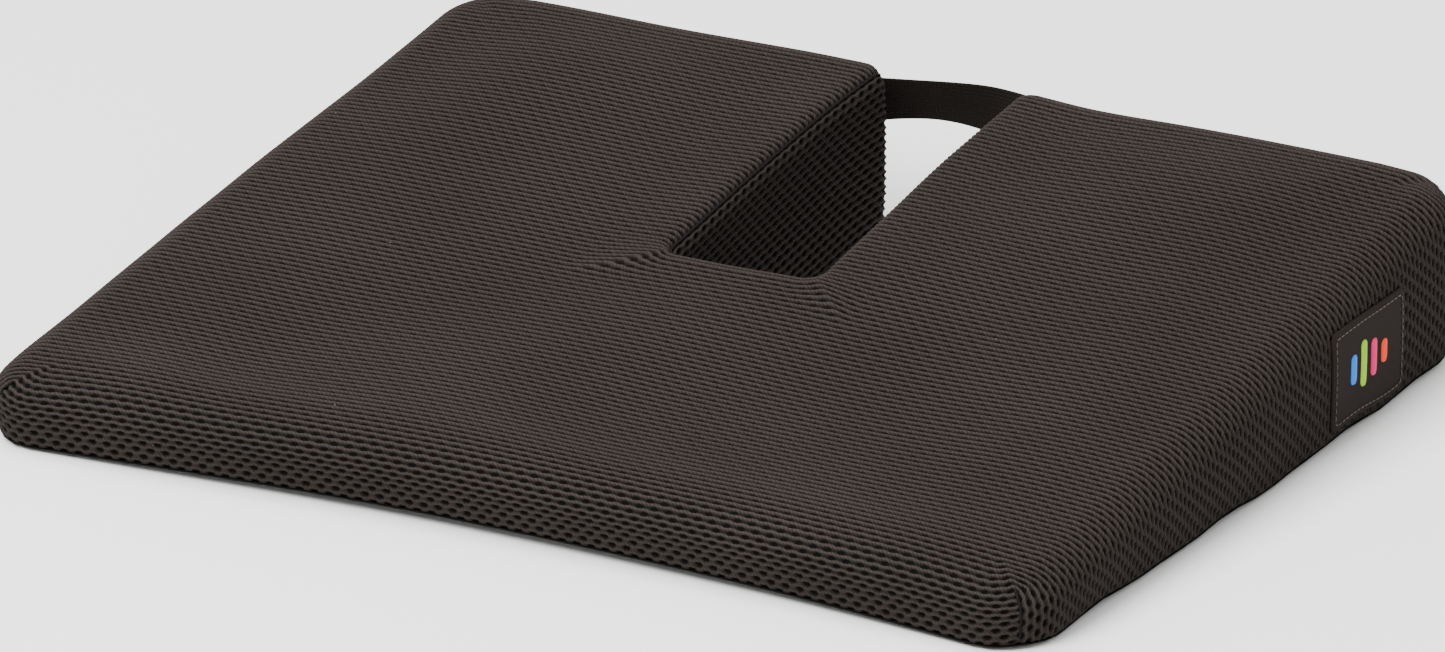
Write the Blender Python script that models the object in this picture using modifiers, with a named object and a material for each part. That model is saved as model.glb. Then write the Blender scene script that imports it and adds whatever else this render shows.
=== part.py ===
"""Wedge seat cushion with a tailbone notch, a carry strap and a zipped mesh cover.

Metres, +Z up.  +X is the sitter's right, the thin front edge is at -Y, the notch opens to +Y.
The origin is the middle of the cushion's outline on the surface it rests on, strap included.
"""

import math

import bmesh
import bpy
from mathutils import Matrix, Vector

# Overall form
WIDTH = 0.450
DEPTH = 0.350
REAR_HEIGHT = 0.076
FRONT_HEIGHT = 0.027
CORNER_RADIUS = 0.024        # front and rear corners, seen from above
EDGE_ROLL = 0.012            # how softly the top turns down into the sides
MOUTH_MARGIN = 0.002         # mouth corners of the notch are this much rounder than the roll
BASE_ROLL = 0.004            # bottom edge, all round

# Tailbone notch
NOTCH_WIDTH = 0.062
NOTCH_DEPTH = 0.167
NOTCH_CORNER = 0.004

# Layers, from the outside in
COVER = 0.003                # spacer mesh
BASE_FABRIC = 0.0015         # non-slip cloth underneath
COMFORT_FOAM = 0.012         # slow-recovery foam laid on the firm wedge
SEAM = 0.0003                # gap where two pieces touch

# Zip across the underside
ZIP_TO_NOTCH = 0.068         # middle of the zip to the notch's end
ZIP_LENGTH = 0.380
ZIP_WINDOW = 0.014           # clear width between the two hems
HEM = 0.008
COIL_RADIUS = 0.0010
COIL_SPLIT = 0.0014          # clear gap between the two coils, where the slider's post runs
TAPE = 0.0006
TAPE_WIDTH = 0.011
SLIDER_LENGTH = 0.0090
SLIDER_WIDTH = 0.0086
SLIDER_PLATE = 0.0010
SLIDER_POST = 0.0008
SLIDER_FLANGE = 0.0008
BRIDGE_LENGTH = 0.0050
BRIDGE_WIDTH = 0.0016
BRIDGE = 0.0007
BRIDGE_OPENING = 0.0016
FLOOR_CLEARANCE = 0.0005
PULL = 0.0008
PULL_WIDTH = 0.0052
PULL_LENGTH = 0.024
PULL_EYE = 0.0032
EYE_PLAY = 0.0004
STOP_LENGTH = 0.0028
ZIP_HEADROOM = 0.0010        # room left above the slider in the foam

# Carry strap
WEBBING = 0.0015
WEBBING_WIDTH = 0.020
STRAP_HEIGHT = 0.048         # middle of the webbing above the floor
STRAP_ANCHOR = 0.058         # where the webbing leaves the cover, each side of the middle
STRAP_BOW = 0.020
STRAP_FREE = 0.050           # half of the free, moving span
STRAP_TAIL = 0.027
TACK = (0.0018, 0.0006, 0.017)   # bar tack: across the webbing, proud of it, along its width
TACK_INSET = 0.004

# Sewn label on the right side
LABEL_WIDTH = 0.060
LABEL_HEIGHT = 0.042
LABEL = 0.0008
LABEL_FROM_REAR = 0.059      # rear edge of the label to the rear of the cushion
LABEL_FROM_FLOOR = 0.006
LABEL_CORNER = 0.004
THREAD = 0.0003              # radius of the label's edge stitching
STITCH_INSET = 0.0025
BAR_WIDTH = 0.0050
BAR_PITCH = 0.0085
BAR_HEIGHTS = (0.013, 0.020, 0.016, 0.010)
BAR_NAMES = ("blue", "green", "pink", "orange")
BAR_THICKNESS = 0.0005

STRAP_REACH = SEAM + WEBBING + STRAP_BOW
FRONT_Y = -(DEPTH + STRAP_REACH) / 2
REAR_Y = FRONT_Y + DEPTH
NOTCH_Y = REAR_Y - NOTCH_DEPTH
SLOPE = (REAR_HEIGHT - FRONT_HEIGHT) / DEPTH
MOUTH_RADIUS = EDGE_ROLL + MOUTH_MARGIN
ZIP_Y = NOTCH_Y - ZIP_TO_NOTCH
PIVOT_Z = FLOOR_CLEARANCE + BRIDGE + BRIDGE_OPENING / 2
PLATE_Z = FLOOR_CLEARANCE + BRIDGE + BRIDGE_OPENING
CHAIN_Z = PLATE_Z + SLIDER_PLATE + SEAM + COIL_RADIUS
SLIDER_TOP = CHAIN_Z + COIL_RADIUS + SEAM + SLIDER_PLATE
COIL_Y = COIL_SPLIT / 2 + COIL_RADIUS
FAR = 1.0                    # longer than anything here, for cutters


def top_z(y, below=0.0):
    """Height of the sloping top at y, or of the plane that lies a given distance under it."""
    return FRONT_HEIGHT + SLOPE * (y - FRONT_Y) - below * math.hypot(1, SLOPE)


def clear_scene():
    for obj in list(bpy.data.objects):
        bpy.data.objects.remove(obj, do_unlink=True)


def collection(name):
    found = bpy.data.collections.new(name)
    bpy.context.scene.collection.children.link(found)
    return found


def material(name, colour, roughness, metallic=0.0):
    found = bpy.data.materials.new(name)
    found.use_nodes = True
    shader = found.node_tree.nodes["Principled BSDF"]
    shader.inputs["Base Color"].default_value = (*colour, 1.0)
    shader.inputs["Roughness"].default_value = roughness
    shader.inputs["Metallic"].default_value = metallic
    return found


def add_object(name, bm, home):
    """A named object holding this bmesh, in the given collection."""
    bmesh.ops.recalc_face_normals(bm, faces=bm.faces)
    mesh = bpy.data.meshes.new(name)
    bm.to_mesh(mesh)
    bm.free()
    obj = bpy.data.objects.new(name, mesh)
    home.objects.link(obj)
    if home is cutters:
        obj.hide_render = True
        obj.display_type = "WIRE"
    return obj


def boolean(obj, other, operation):
    modifier = obj.modifiers.new(operation.lower() + "_" + other.name, "BOOLEAN")
    modifier.operation = operation
    modifier.object = other


def box(name, low, high, home):
    """A box between two corners."""
    bm = bmesh.new()
    bmesh.ops.create_cube(bm, size=1.0)
    size = [b - a for a, b in zip(low, high)]
    middle = [(a + b) / 2 for a, b in zip(low, high)]
    bmesh.ops.scale(bm, vec=size, verts=bm.verts)
    bmesh.ops.translate(bm, vec=middle, verts=bm.verts)
    return add_object(name, bm, home)


def prism(name, outline, heights, home):
    """An upright block over a plan outline, between two heights that may follow y."""
    low, high = heights
    bm = bmesh.new()
    base = bm.faces.new([bm.verts.new((x, y, low(y))) for x, y in outline])
    made = bmesh.ops.extrude_face_region(bm, geom=[base])["geom"]
    for vert in made:
        if isinstance(vert, bmesh.types.BMVert):
            vert.co.z = high(vert.co.y)
    return add_object(name, bm, home)


def upright_edges(bm, x=None, y=None):
    """The vertical edges of a block that stand at this |x| or at this y."""
    found = []
    for edge in bm.edges:
        a, b = (vert.co for vert in edge.verts)
        if abs(a.x - b.x) > 1e-6 or abs(a.y - b.y) > 1e-6:
            continue
        if (x is None or abs(abs(a.x) - x) < 1e-6) and (y is None or abs(a.y - y) < 1e-6):
            found.append(edge)
    return found


def rounded(bm, edges, radius, segments):
    bmesh.ops.bevel(bm, geom=edges, offset=radius, offset_type="OFFSET", segments=segments,
                    profile=0.5, affect="EDGES", clamp_overlap=False)


def cushion_form(name, inset, floor, home, base_roll=0.0):
    """The notched wedge, drawn in by the same distance on every side, with all its edges rolled."""
    side = WIDTH / 2 - inset
    front, rear = FRONT_Y + inset, REAR_Y - inset
    notch, notch_end = NOTCH_WIDTH / 2 + inset, NOTCH_Y - inset
    outline = [(-side, front), (side, front), (side, rear), (notch, rear),
               (notch, notch_end), (-notch, notch_end), (-notch, rear), (-side, rear)]
    bm = bmesh.new()
    base = bm.faces.new([bm.verts.new((x, y, floor)) for x, y in outline])
    made = bmesh.ops.extrude_face_region(bm, geom=[base])["geom"]
    for vert in made:
        if isinstance(vert, bmesh.types.BMVert):
            vert.co.z = top_z(vert.co.y, inset)
    bmesh.ops.recalc_face_normals(bm, faces=bm.faces)
    rounded(bm, upright_edges(bm, x=side), CORNER_RADIUS - inset, 5)
    rounded(bm, upright_edges(bm, x=notch, y=rear), MOUTH_RADIUS - inset, 4)
    rounded(bm, upright_edges(bm, x=notch, y=notch_end), NOTCH_CORNER + inset, 2)
    top = max(bm.faces, key=lambda face: face.calc_center_median().z * (face.normal.z > 0.9))
    rounded(bm, list(top.edges), EDGE_ROLL - inset, 4)
    if base_roll:
        bottom = min(bm.faces, key=lambda face: face.calc_center_median().z)
        rounded(bm, list(bottom.edges), base_roll, 2)
    return add_object(name, bm, home)


def ribbon(name, path, low, high, home):
    """Upright webbing along a plan path: a strip of cloth, given its thickness on both sides."""
    bm = bmesh.new()
    verts = [bm.verts.new((x, y, low)) for x, y in path]
    edges = [bm.edges.new(pair) for pair in zip(verts, verts[1:])]
    made = bmesh.ops.extrude_edge_only(bm, edges=edges)["geom"]
    for vert in made:
        if isinstance(vert, bmesh.types.BMVert):
            vert.co.z = high
    obj = add_object(name, bm, home)
    thick = obj.modifiers.new("webbing", "SOLIDIFY")
    thick.thickness = WEBBING
    thick.offset = 0.0
    return obj


def cloth_panels():
    """The cover: one wrap-round top, two rear bands, a gusset round the notch, two base panels."""
    inner = cushion_form("cover_inside", COVER, -FAR, cutters)
    seam_z = BASE_FABRIC + SEAM
    band_top = top_z(REAR_Y - MOUTH_RADIUS, EDGE_ROLL)
    mouth_y = REAR_Y - MOUTH_RADIUS

    def band_region(name, side, grow):
        xs = sorted((side * (NOTCH_WIDTH / 2 - grow - SEAM), side * (WIDTH / 2 - CORNER_RADIUS + grow)))
        return box(name, (xs[0], mouth_y - grow, seam_z - 2 * grow), (xs[1], REAR_Y + FAR, band_top + grow), cutters)

    def gusset_region(name, grow):
        half = NOTCH_WIDTH / 2 + COVER + SEAM + grow
        end = NOTCH_Y - COVER - SEAM - grow
        outline = [(-half, end), (half, end), (half, mouth_y - SEAM), (-half, mouth_y - SEAM)]
        return prism(name, outline, (lambda y: seam_z - 2 * grow, lambda y: top_z(y, EDGE_ROLL) + grow), cutters)

    gusset_cut = gusset_region("gusset_space", SEAM)
    slab = box("base_space", (-FAR, -FAR, -FAR), (FAR, FAR, seam_z), cutters)
    top = cushion_form("cover_top", 0.0, 0.0, parts, BASE_ROLL)
    boolean(top, inner, "DIFFERENCE")
    boolean(top, slab, "DIFFERENCE")
    boolean(top, gusset_cut, "DIFFERENCE")
    made = {"cover_top": top}
    for side, word in ((-1, "left"), (1, "right")):
        boolean(top, band_region("band_space_" + word, side, SEAM), "DIFFERENCE")
        band = cushion_form("rear_band_" + word, 0.0, 0.0, parts, BASE_ROLL)
        boolean(band, inner, "DIFFERENCE")
        boolean(band, band_region("band_" + word, side, 0.0), "INTERSECT")
        made[band.name] = band
    gusset = cushion_form("notch_gusset", 0.0, 0.0, parts, BASE_ROLL)
    boolean(gusset, inner, "DIFFERENCE")
    boolean(gusset, gusset_region("gusset_keep", 0.0), "INTERSECT")
    made["notch_gusset"] = gusset
    return made


def base_panels():
    """Non-slip cloth underneath, in front of and behind the zip, each with a folded hem along it."""
    hem_top = CHAIN_Z - TAPE / 2 - SEAM
    half_window = ZIP_LENGTH / 2 + STOP_LENGTH + 2 * SEAM
    window = box("zip_window", (-half_window, ZIP_Y - ZIP_WINDOW / 2, -FAR),
                 (half_window, ZIP_Y + ZIP_WINDOW / 2, FAR), cutters)
    for word, way in (("front", -1), ("rear", 1)):
        panel = cushion_form("base_panel_" + word, 0.0, 0.0, parts, BASE_ROLL)
        near, far = ZIP_Y + way * SEAM / 2, ZIP_Y + way * FAR
        keep = box("base_keep_" + word, (-FAR, min(near, far), -FAR), (FAR, max(near, far), BASE_FABRIC), cutters)
        boolean(panel, keep, "INTERSECT")
        ys = sorted((ZIP_Y + way * ZIP_WINDOW / 2, ZIP_Y + way * (ZIP_WINDOW / 2 + HEM)))
        hem = box("hem_" + word, (-half_window, ys[0], BASE_FABRIC / 2), (half_window, ys[1], hem_top), cutters)
        boolean(panel, hem, "UNION")
        boolean(panel, window, "DIFFERENCE")
        paint(panel, "non_slip_cloth")


def foam_layers():
    """A firm wedge with a soft layer bonded on top, both cut back round the zip."""
    inset = COVER + SEAM
    split = COVER + COMFORT_FOAM
    room = ZIP_WINDOW / 2 + HEM + SEAM
    half = ZIP_LENGTH / 2 + STOP_LENGTH + 4 * SEAM
    outline = [(-FAR, -FAR), (FAR, -FAR), (FAR, FAR), (-FAR, FAR)]
    lower = prism("below_split", outline, (lambda y: -FAR, lambda y: top_z(y, split)), cutters)
    groove = box("zip_room", (-half, ZIP_Y - room, -FAR), (half, ZIP_Y + room, SLIDER_TOP + ZIP_HEADROOM), cutters)
    base = cushion_form("foam_wedge", inset, BASE_FABRIC + SEAM, parts)
    boolean(base, lower, "INTERSECT")
    boolean(base, groove, "DIFFERENCE")
    upper = prism("above_split", outline, (lambda y: top_z(y, split - SEAM), lambda y: FAR * 2), cutters)
    comfort = cushion_form("comfort_foam", inset, BASE_FABRIC + SEAM, parts)
    boolean(comfort, upper, "INTERSECT")
    paint(base, "firm_foam")
    paint(comfort, "soft_foam")


def zip_chain():
    """Two tapes with a nylon coil each, and a stop at either end."""
    half = ZIP_LENGTH / 2
    for word, way in (("front", -1), ("rear", 1)):
        inner, outer = COIL_Y + COIL_RADIUS + SEAM, COIL_Y + COIL_RADIUS + SEAM + TAPE_WIDTH
        ys = sorted((ZIP_Y + way * inner, ZIP_Y + way * outer))
        tape = box("zip_tape_" + word, (-half, ys[0], CHAIN_Z - TAPE / 2), (half, ys[1], CHAIN_Z + TAPE / 2), parts)
        paint(tape, "zip_tape")
        bm = bmesh.new()
        bmesh.ops.create_cone(bm, cap_ends=True, segments=12, radius1=COIL_RADIUS, radius2=COIL_RADIUS,
                              depth=ZIP_LENGTH)
        bmesh.ops.rotate(bm, matrix=Matrix.Rotation(math.pi / 2, 3, "Y"), verts=bm.verts)
        coil = add_object("zip_coil_" + word, bm, parts)
        coil.location = (0.0, ZIP_Y + way * COIL_Y, CHAIN_Z)
        paint(coil, "zip_nylon")
    for word, way in (("left", -1), ("right", 1)):
        xs = sorted((way * (half + SEAM), way * (half + SEAM + STOP_LENGTH)))
        reach = COIL_Y + COIL_RADIUS
        stop = box("zip_stop_" + word, (xs[0], ZIP_Y - reach, CHAIN_Z - COIL_RADIUS),
                   (xs[1], ZIP_Y + reach, CHAIN_Z + COIL_RADIUS), parts)
        soften(stop, 0.0004)
        paint(stop, "zip_metal")


def soften(obj, radius, segments=2):
    edge = obj.modifiers.new("softened_edges", "BEVEL")
    edge.width = radius
    edge.segments = segments
    edge.limit_method = "ANGLE"


def zip_slider():
    """Two plates joined by a post between the coils, lips round the tapes, and a bridge for the pull.

    It stands at the closed, right-hand end of the zip.  Its origin lies on the pull's pivot.
    """
    x = ZIP_LENGTH / 2 - SLIDER_LENGTH / 2 - SEAM
    width, post, plate = SLIDER_WIDTH / 2, SLIDER_POST / 2, SLIDER_PLATE
    lip = TAPE / 2 + SEAM
    low, high = PLATE_Z - PIVOT_Z, SLIDER_TOP - PIVOT_Z
    mid = CHAIN_Z - PIVOT_Z
    right = [(post, low + plate), (width - SLIDER_FLANGE, low + plate), (width - SLIDER_FLANGE, mid - lip),
             (width, mid - lip), (width, low)]
    upper_right = [(width, high), (width, mid + lip), (width - SLIDER_FLANGE, mid + lip),
                   (width - SLIDER_FLANGE, high - plate), (post, high - plate)]
    half_section = list(reversed(right)) + list(reversed(upper_right))
    section = half_section + [(-y, z) for y, z in reversed(half_section)]
    bm = bmesh.new()
    face = bm.faces.new([bm.verts.new((-SLIDER_LENGTH / 2, y, z)) for y, z in section])
    made = bmesh.ops.extrude_face_region(bm, geom=[face])["geom"]
    bmesh.ops.translate(bm, vec=(SLIDER_LENGTH, 0, 0), verts=[v for v in made if isinstance(v, bmesh.types.BMVert)])
    slider = add_object("zip_slider", bm, parts)
    slider.location = (x, ZIP_Y, PIVOT_Z)
    outer, inner = BRIDGE_LENGTH / 2, BRIDGE_LENGTH / 2 - BRIDGE
    bridge = box("bridge_block", (-outer, -BRIDGE_WIDTH / 2, FLOOR_CLEARANCE - PIVOT_Z),
                 (outer, BRIDGE_WIDTH / 2, low + plate / 2), cutters)
    hole = box("bridge_hole", (-inner, -FAR, -BRIDGE_OPENING / 2), (inner, FAR, low), cutters)
    boolean(bridge, hole, "DIFFERENCE")
    boolean(slider, bridge, "UNION")
    for helper in (bridge, hole):
        helper.location = slider.location
    paint(slider, "zip_metal")
    return x


def zip_pull(x):
    """A flat tag whose end bar turns under the slider's bridge, which stands in the tag's eye."""
    half, bar = PULL_WIDTH / 2, PULL / 2
    pull = box("zip_pull", (-PULL_LENGTH, -half, -bar), (bar, half, bar), parts)
    eye_half = BRIDGE_WIDTH / 2 + EYE_PLAY
    eye = box("pull_eye", (-bar - PULL_EYE, -eye_half, -FAR), (-bar, eye_half, FAR), cutters)
    bm = bmesh.new()
    bmesh.ops.create_cone(bm, cap_ends=True, segments=20, radius1=half / 2, radius2=half / 2, depth=4 * PULL)
    finger_hole = add_object("pull_hole", bm, cutters)
    boolean(pull, eye, "DIFFERENCE")
    boolean(pull, finger_hole, "DIFFERENCE")
    for piece in (pull, eye):
        piece.location = (x, ZIP_Y, PIVOT_Z)
    finger_hole.location = (x - PULL_LENGTH + PULL_WIDTH / 2, ZIP_Y, PIVOT_Z)
    paint(pull, "zip_metal")


def strap_y(x):
    """Plan line of the webbing: flat on the cover past the anchors, a parabola between them."""
    resting = REAR_Y + SEAM + WEBBING / 2
    return resting + STRAP_BOW * max(0.0, 1.0 - (x / STRAP_ANCHOR) ** 2)


def strap_points(start, end, count):
    xs = [start + (end - start) * i / (count - 1) for i in range(count)]
    return [(x, strap_y(x)) for x in xs]


def carry_strap():
    """One webbing strap: the free span that moves, and the two tails sewn to the rear bands."""
    low, high = STRAP_HEIGHT - WEBBING_WIDTH / 2, STRAP_HEIGHT + WEBBING_WIDTH / 2
    pivot = Vector((0.0, strap_y(STRAP_FREE), STRAP_HEIGHT))
    spare = STRAP_FREE + WEBBING     # trimmed square to X, so that the ends clear the tails as the span turns
    span = box("free_span", (-STRAP_FREE, -FAR, -FAR), (STRAP_FREE, FAR, FAR), cutters)
    room = box("free_span_room", (-STRAP_FREE - SEAM, -FAR, -FAR), (STRAP_FREE + SEAM, FAR, FAR), cutters)
    loop = ribbon("strap_loop", strap_points(-spare, spare, 27), low, high, parts)
    loop.data.transform(Matrix.Translation(-pivot))
    loop.location = pivot
    boolean(loop, span, "INTERSECT")
    paint(loop, "webbing")
    for word, way in (("left", -1), ("right", 1)):
        lead = strap_points(way * (STRAP_FREE - WEBBING), way * STRAP_ANCHOR, 5)
        tail_end = way * (STRAP_ANCHOR + STRAP_TAIL)
        path = lead + [(tail_end, strap_y(tail_end))]
        tail = ribbon("strap_tail_" + word, path, low, high, parts)
        boolean(tail, room, "DIFFERENCE")
        paint(tail, "webbing")
        length, proud, width = TACK
        face = REAR_Y + SEAM + WEBBING + SEAM
        places = (("inner", STRAP_ANCHOR + TACK_INSET), ("outer", STRAP_ANCHOR + STRAP_TAIL - TACK_INSET))
        for place, middle in places:
            xs = sorted((way * (middle - length / 2), way * (middle + length / 2)))
            tack = box("bar_tack_" + word + "_" + place, (xs[0], face, STRAP_HEIGHT - width / 2),
                       (xs[1], face + proud, STRAP_HEIGHT + width / 2), parts)
            soften(tack, proud / 3)
            paint(tack, "sewing_thread")


def flat_plate(name, x, y_range, z_range, thickness, corner, home):
    """A thin plate standing on the cushion's right side, with rounded corners."""
    (y0, y1), (z0, z1) = y_range, z_range
    plate = box(name, (x, y0, z0), (x + thickness, y1, z1), home)
    bm = bmesh.new()
    bm.from_mesh(plate.data)
    across = [e for e in bm.edges if abs(e.verts[0].co.x - e.verts[1].co.x) > thickness / 2]
    rounded(bm, across, corner, 4)
    bm.to_mesh(plate.data)
    bm.free()
    return plate


def sewn_label():
    """A woven label with a stitched edge and four satin-stitch bars."""
    x = WIDTH / 2 + SEAM
    y1 = REAR_Y - LABEL_FROM_REAR
    y0 = y1 - LABEL_WIDTH
    z0, z1 = LABEL_FROM_FLOOR, LABEL_FROM_FLOOR + LABEL_HEIGHT
    label = flat_plate("label_patch", x, (y0, y1), (z0, z1), LABEL, LABEL_CORNER, parts)
    paint(label, "label_cloth")
    face = x + LABEL + SEAM
    inset = STITCH_INSET
    ring = flat_plate("label_stitching", face, (y0 + inset, y1 - inset), (z0 + inset, z1 - inset),
                      2 * THREAD, LABEL_CORNER - inset / 2, parts)
    inset += 2 * THREAD
    hole = flat_plate("stitching_inside", face - THREAD, (y0 + inset, y1 - inset), (z0 + inset, z1 - inset),
                      4 * THREAD, LABEL_CORNER - inset / 2, cutters)
    boolean(ring, hole, "DIFFERENCE")
    paint(ring, "label_thread")
    middle_y, middle_z = (y0 + y1) / 2, (z0 + z1) / 2
    first = middle_y - BAR_PITCH * (len(BAR_NAMES) - 1) / 2
    for i, (word, height) in enumerate(zip(BAR_NAMES, BAR_HEIGHTS)):
        y = first + i * BAR_PITCH
        bar = flat_plate("motif_bar_" + word, face, (y - BAR_WIDTH / 2, y + BAR_WIDTH / 2),
                         (middle_z - height / 2, middle_z + height / 2), BAR_THICKNESS, BAR_WIDTH * 0.45, parts)
        paint(bar, "thread_" + word)


def paint(obj, name):
    """Gives the piece its own material, in the finish of that name."""
    colour, roughness, metallic = FINISHES[name]
    obj.data.materials.clear()
    obj.data.materials.append(material(obj.name, colour, roughness, metallic))


FINISHES = {
    "spacer_mesh": ((0.045, 0.040, 0.037), 0.85, 0.0),
    "non_slip_cloth": ((0.030, 0.029, 0.028), 0.90, 0.0),
    "firm_foam": ((0.55, 0.57, 0.60), 0.95, 0.0),
    "soft_foam": ((0.80, 0.76, 0.62), 0.95, 0.0),
    "zip_tape": ((0.020, 0.019, 0.018), 0.85, 0.0),
    "zip_nylon": ((0.015, 0.015, 0.015), 0.45, 0.0),
    "zip_metal": ((0.10, 0.10, 0.10), 0.35, 1.0),
    "webbing": ((0.012, 0.010, 0.009), 0.75, 0.0),
    "sewing_thread": ((0.020, 0.018, 0.016), 0.60, 0.0),
    "label_cloth": ((0.028, 0.022, 0.019), 0.60, 0.0),
    "label_thread": ((0.060, 0.052, 0.047), 0.55, 0.0),
    "thread_blue": ((0.020, 0.350, 0.620), 0.40, 0.0),
    "thread_green": ((0.380, 0.560, 0.040), 0.40, 0.0),
    "thread_pink": ((0.680, 0.030, 0.240), 0.40, 0.0),
    "thread_orange": ((0.800, 0.200, 0.030), 0.40, 0.0),
}

clear_scene()
parts = collection("seat_cushion")
cutters = collection("cutters")
for panel in cloth_panels().values():
    paint(panel, "spacer_mesh")
base_panels()
foam_layers()
zip_chain()
zip_pull(zip_slider())
carry_strap()
sewn_label()
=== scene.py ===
"""Looks of a wedge seat cushion: spacer-mesh cover, foam core, zip, webbing strap and sewn label.

Metres, +Z up.  +X is the sitter's right, the thin front edge is at -Y and the notch opens to +Y.
Run it as a script in Blender, or read it as an add-on: one operator makes each group of pieces.
"""

import math

import bmesh
import bpy
import numpy as np
from bpy.props import FloatProperty, IntProperty, PointerProperty, StringProperty
from bpy.types import Operator, Panel, PropertyGroup
from mathutils import Matrix, Vector


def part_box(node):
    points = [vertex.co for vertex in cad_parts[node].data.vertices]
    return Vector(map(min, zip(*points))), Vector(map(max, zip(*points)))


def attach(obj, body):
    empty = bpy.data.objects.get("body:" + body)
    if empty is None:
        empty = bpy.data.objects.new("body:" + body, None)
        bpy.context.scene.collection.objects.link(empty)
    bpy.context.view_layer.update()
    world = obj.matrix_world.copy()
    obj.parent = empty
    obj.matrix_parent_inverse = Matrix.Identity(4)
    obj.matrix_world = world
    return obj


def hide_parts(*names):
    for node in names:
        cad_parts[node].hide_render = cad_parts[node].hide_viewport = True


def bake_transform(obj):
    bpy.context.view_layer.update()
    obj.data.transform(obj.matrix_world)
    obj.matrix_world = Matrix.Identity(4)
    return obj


bl_info = {
    "name": "Wedge seat cushion",
    "version": (1, 0, 0),
    "blender": (4, 5, 0),
    "location": "View3D > Sidebar > Cushion",
    "description": "Covers, foam, zip, strap and label of a wedge seat cushion with a tailbone notch",
    "category": "Object",
}

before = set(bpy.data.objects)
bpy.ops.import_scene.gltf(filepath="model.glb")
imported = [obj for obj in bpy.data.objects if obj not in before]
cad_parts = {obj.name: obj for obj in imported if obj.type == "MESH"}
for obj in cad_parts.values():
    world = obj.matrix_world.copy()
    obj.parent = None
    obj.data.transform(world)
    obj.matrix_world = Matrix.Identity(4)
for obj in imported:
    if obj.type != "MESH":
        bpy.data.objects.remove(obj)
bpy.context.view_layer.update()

# The cushion's plan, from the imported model
COVER_LOW, COVER_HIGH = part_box("cover_top")
GUSSET_LOW, GUSSET_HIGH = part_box("notch_gusset")
COVER = 0.003                                # thickness of the spacer mesh
HALF_WIDTH = COVER_HIGH.x
FRONT_Y, REAR_Y = COVER_LOW.y, COVER_HIGH.y
NOTCH_HALF = GUSSET_HIGH.x - COVER
NOTCH_Y = GUSSET_LOW.y + COVER
SEAM_Z = COVER_LOW.z                         # the cover meets the base panels here
ZIP_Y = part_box("zip_pull")[0].y / 2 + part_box("zip_pull")[1].y / 2
TINY = 1e-9
FAR = 1.0                                    # stands for no seam anywhere near

# Sewn seams press a valley this deep into the cloth, on the line itself
LONG_SEAM, DART_SEAM, BASE_SEAM = 0.0018, 0.0008, 0.0006
DART_END = 0.004                             # a dart's ridge ends this far short of the side's whole drop

WEBBING_THICK = 0.0015
STRAP_ANCHOR = 0.058                         # the strap's free span ends this far from the middle
STITCH_SINK = 0.0003                         # a bar tack's back lies this far inside the webbing

# The padding's simulation
SKIN_CELL, SKIN_FRAMES, SKIN_PRESSURE = 0.006, 20, 4.0
SKIN_HELD, SKIN_FREE = 0.008, 0.020          # heights between which the hold on the skin fades
EVEN_OUT = 6                                 # rounds of averaging between neighbours of the grid

# The padding's push, in metres, on a grid of points round the whole cushion
PADDING_CELL = 0.008
PADDING_LOW = np.array([-0.264, -0.224, -0.016])
PADDING_SHAPE = (67, 57, 16)
padding = np.zeros((*PADDING_SHAPE, 3))


# ---------------------------------------------------------------- settings


def length(name, description, default):
    return FloatProperty(name=name, description=description, default=default, unit="LENGTH",
                         subtype="DISTANCE")


def number(name, description, default):
    return FloatProperty(name=name, description=description, default=default)


def whole(name, description, default):
    return IntProperty(name=name, description=description, default=default)


def finish_colour(name, description, default):
    return StringProperty(name=name, description=description + ", as sRGB hex", default=default)


class CushionForm(PropertyGroup):
    front_height: length("Front height", "Top of the cushion at the front edge", 0.027)
    rear_height: length("Rear height", "Top of the cushion at the rear edge", 0.0752)
    corner_radius: length("Corner radius", "Front and rear corners, seen from above", 0.0245)
    edge_roll: length("Edge roll", "Radius with which the top turns down into the sides", 0.014)
    notch_roll: length("Notch roll", "Radius with which the top turns down into the notch", 0.008)
    mouth_radius: length("Mouth radius", "Corners between the notch and the rear", 0.014)
    notch_corner: length("Notch corner", "Inner corners of the notch, seen from above", 0.004)
    base_tuck: length("Base tuck", "Radius with which the sides turn under", 0.004)
    setback: length("Front set-back", "How far the middle of the front edge draws in", 0.0065)
    lift: length("Front lift", "How far the middle of the front edge curls off the seat", 0.0030)
    skew: length("Front skew", "How much further forward the left end of the front edge lies", 0.0034)
    mouth_bulge: length("Mouth bulge", "How far the left lobe's foot stands out at the notch's mouth", 0.0040)
    crown: length("Crown", "How far the rims of the top lie below its middle", 0.0026)
    lean: length("Lobe lean", "How far the right lobe's rim leans into the notch towards the rear", 0.0026)
    brow: length("Front brow", "How far the top rounds down towards the front edge", 0.0045)
    curl: length("Rim curl", "How far the underside's rim lifts off the seat between its folds", 0.0022)
    taper: length("Rear taper", "How far each side draws in towards the rear", 0.004)
    hollow: length("Thigh hollow", "Depth of the shallow hollows under the thighs", 0.003)
    seam_depth: length("Seam depth", "How far the sewn seams lie below the knitted face", 0.0010)
    puff: length("Puff", "The most that the padding may push the cover out", 0.005)


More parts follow.
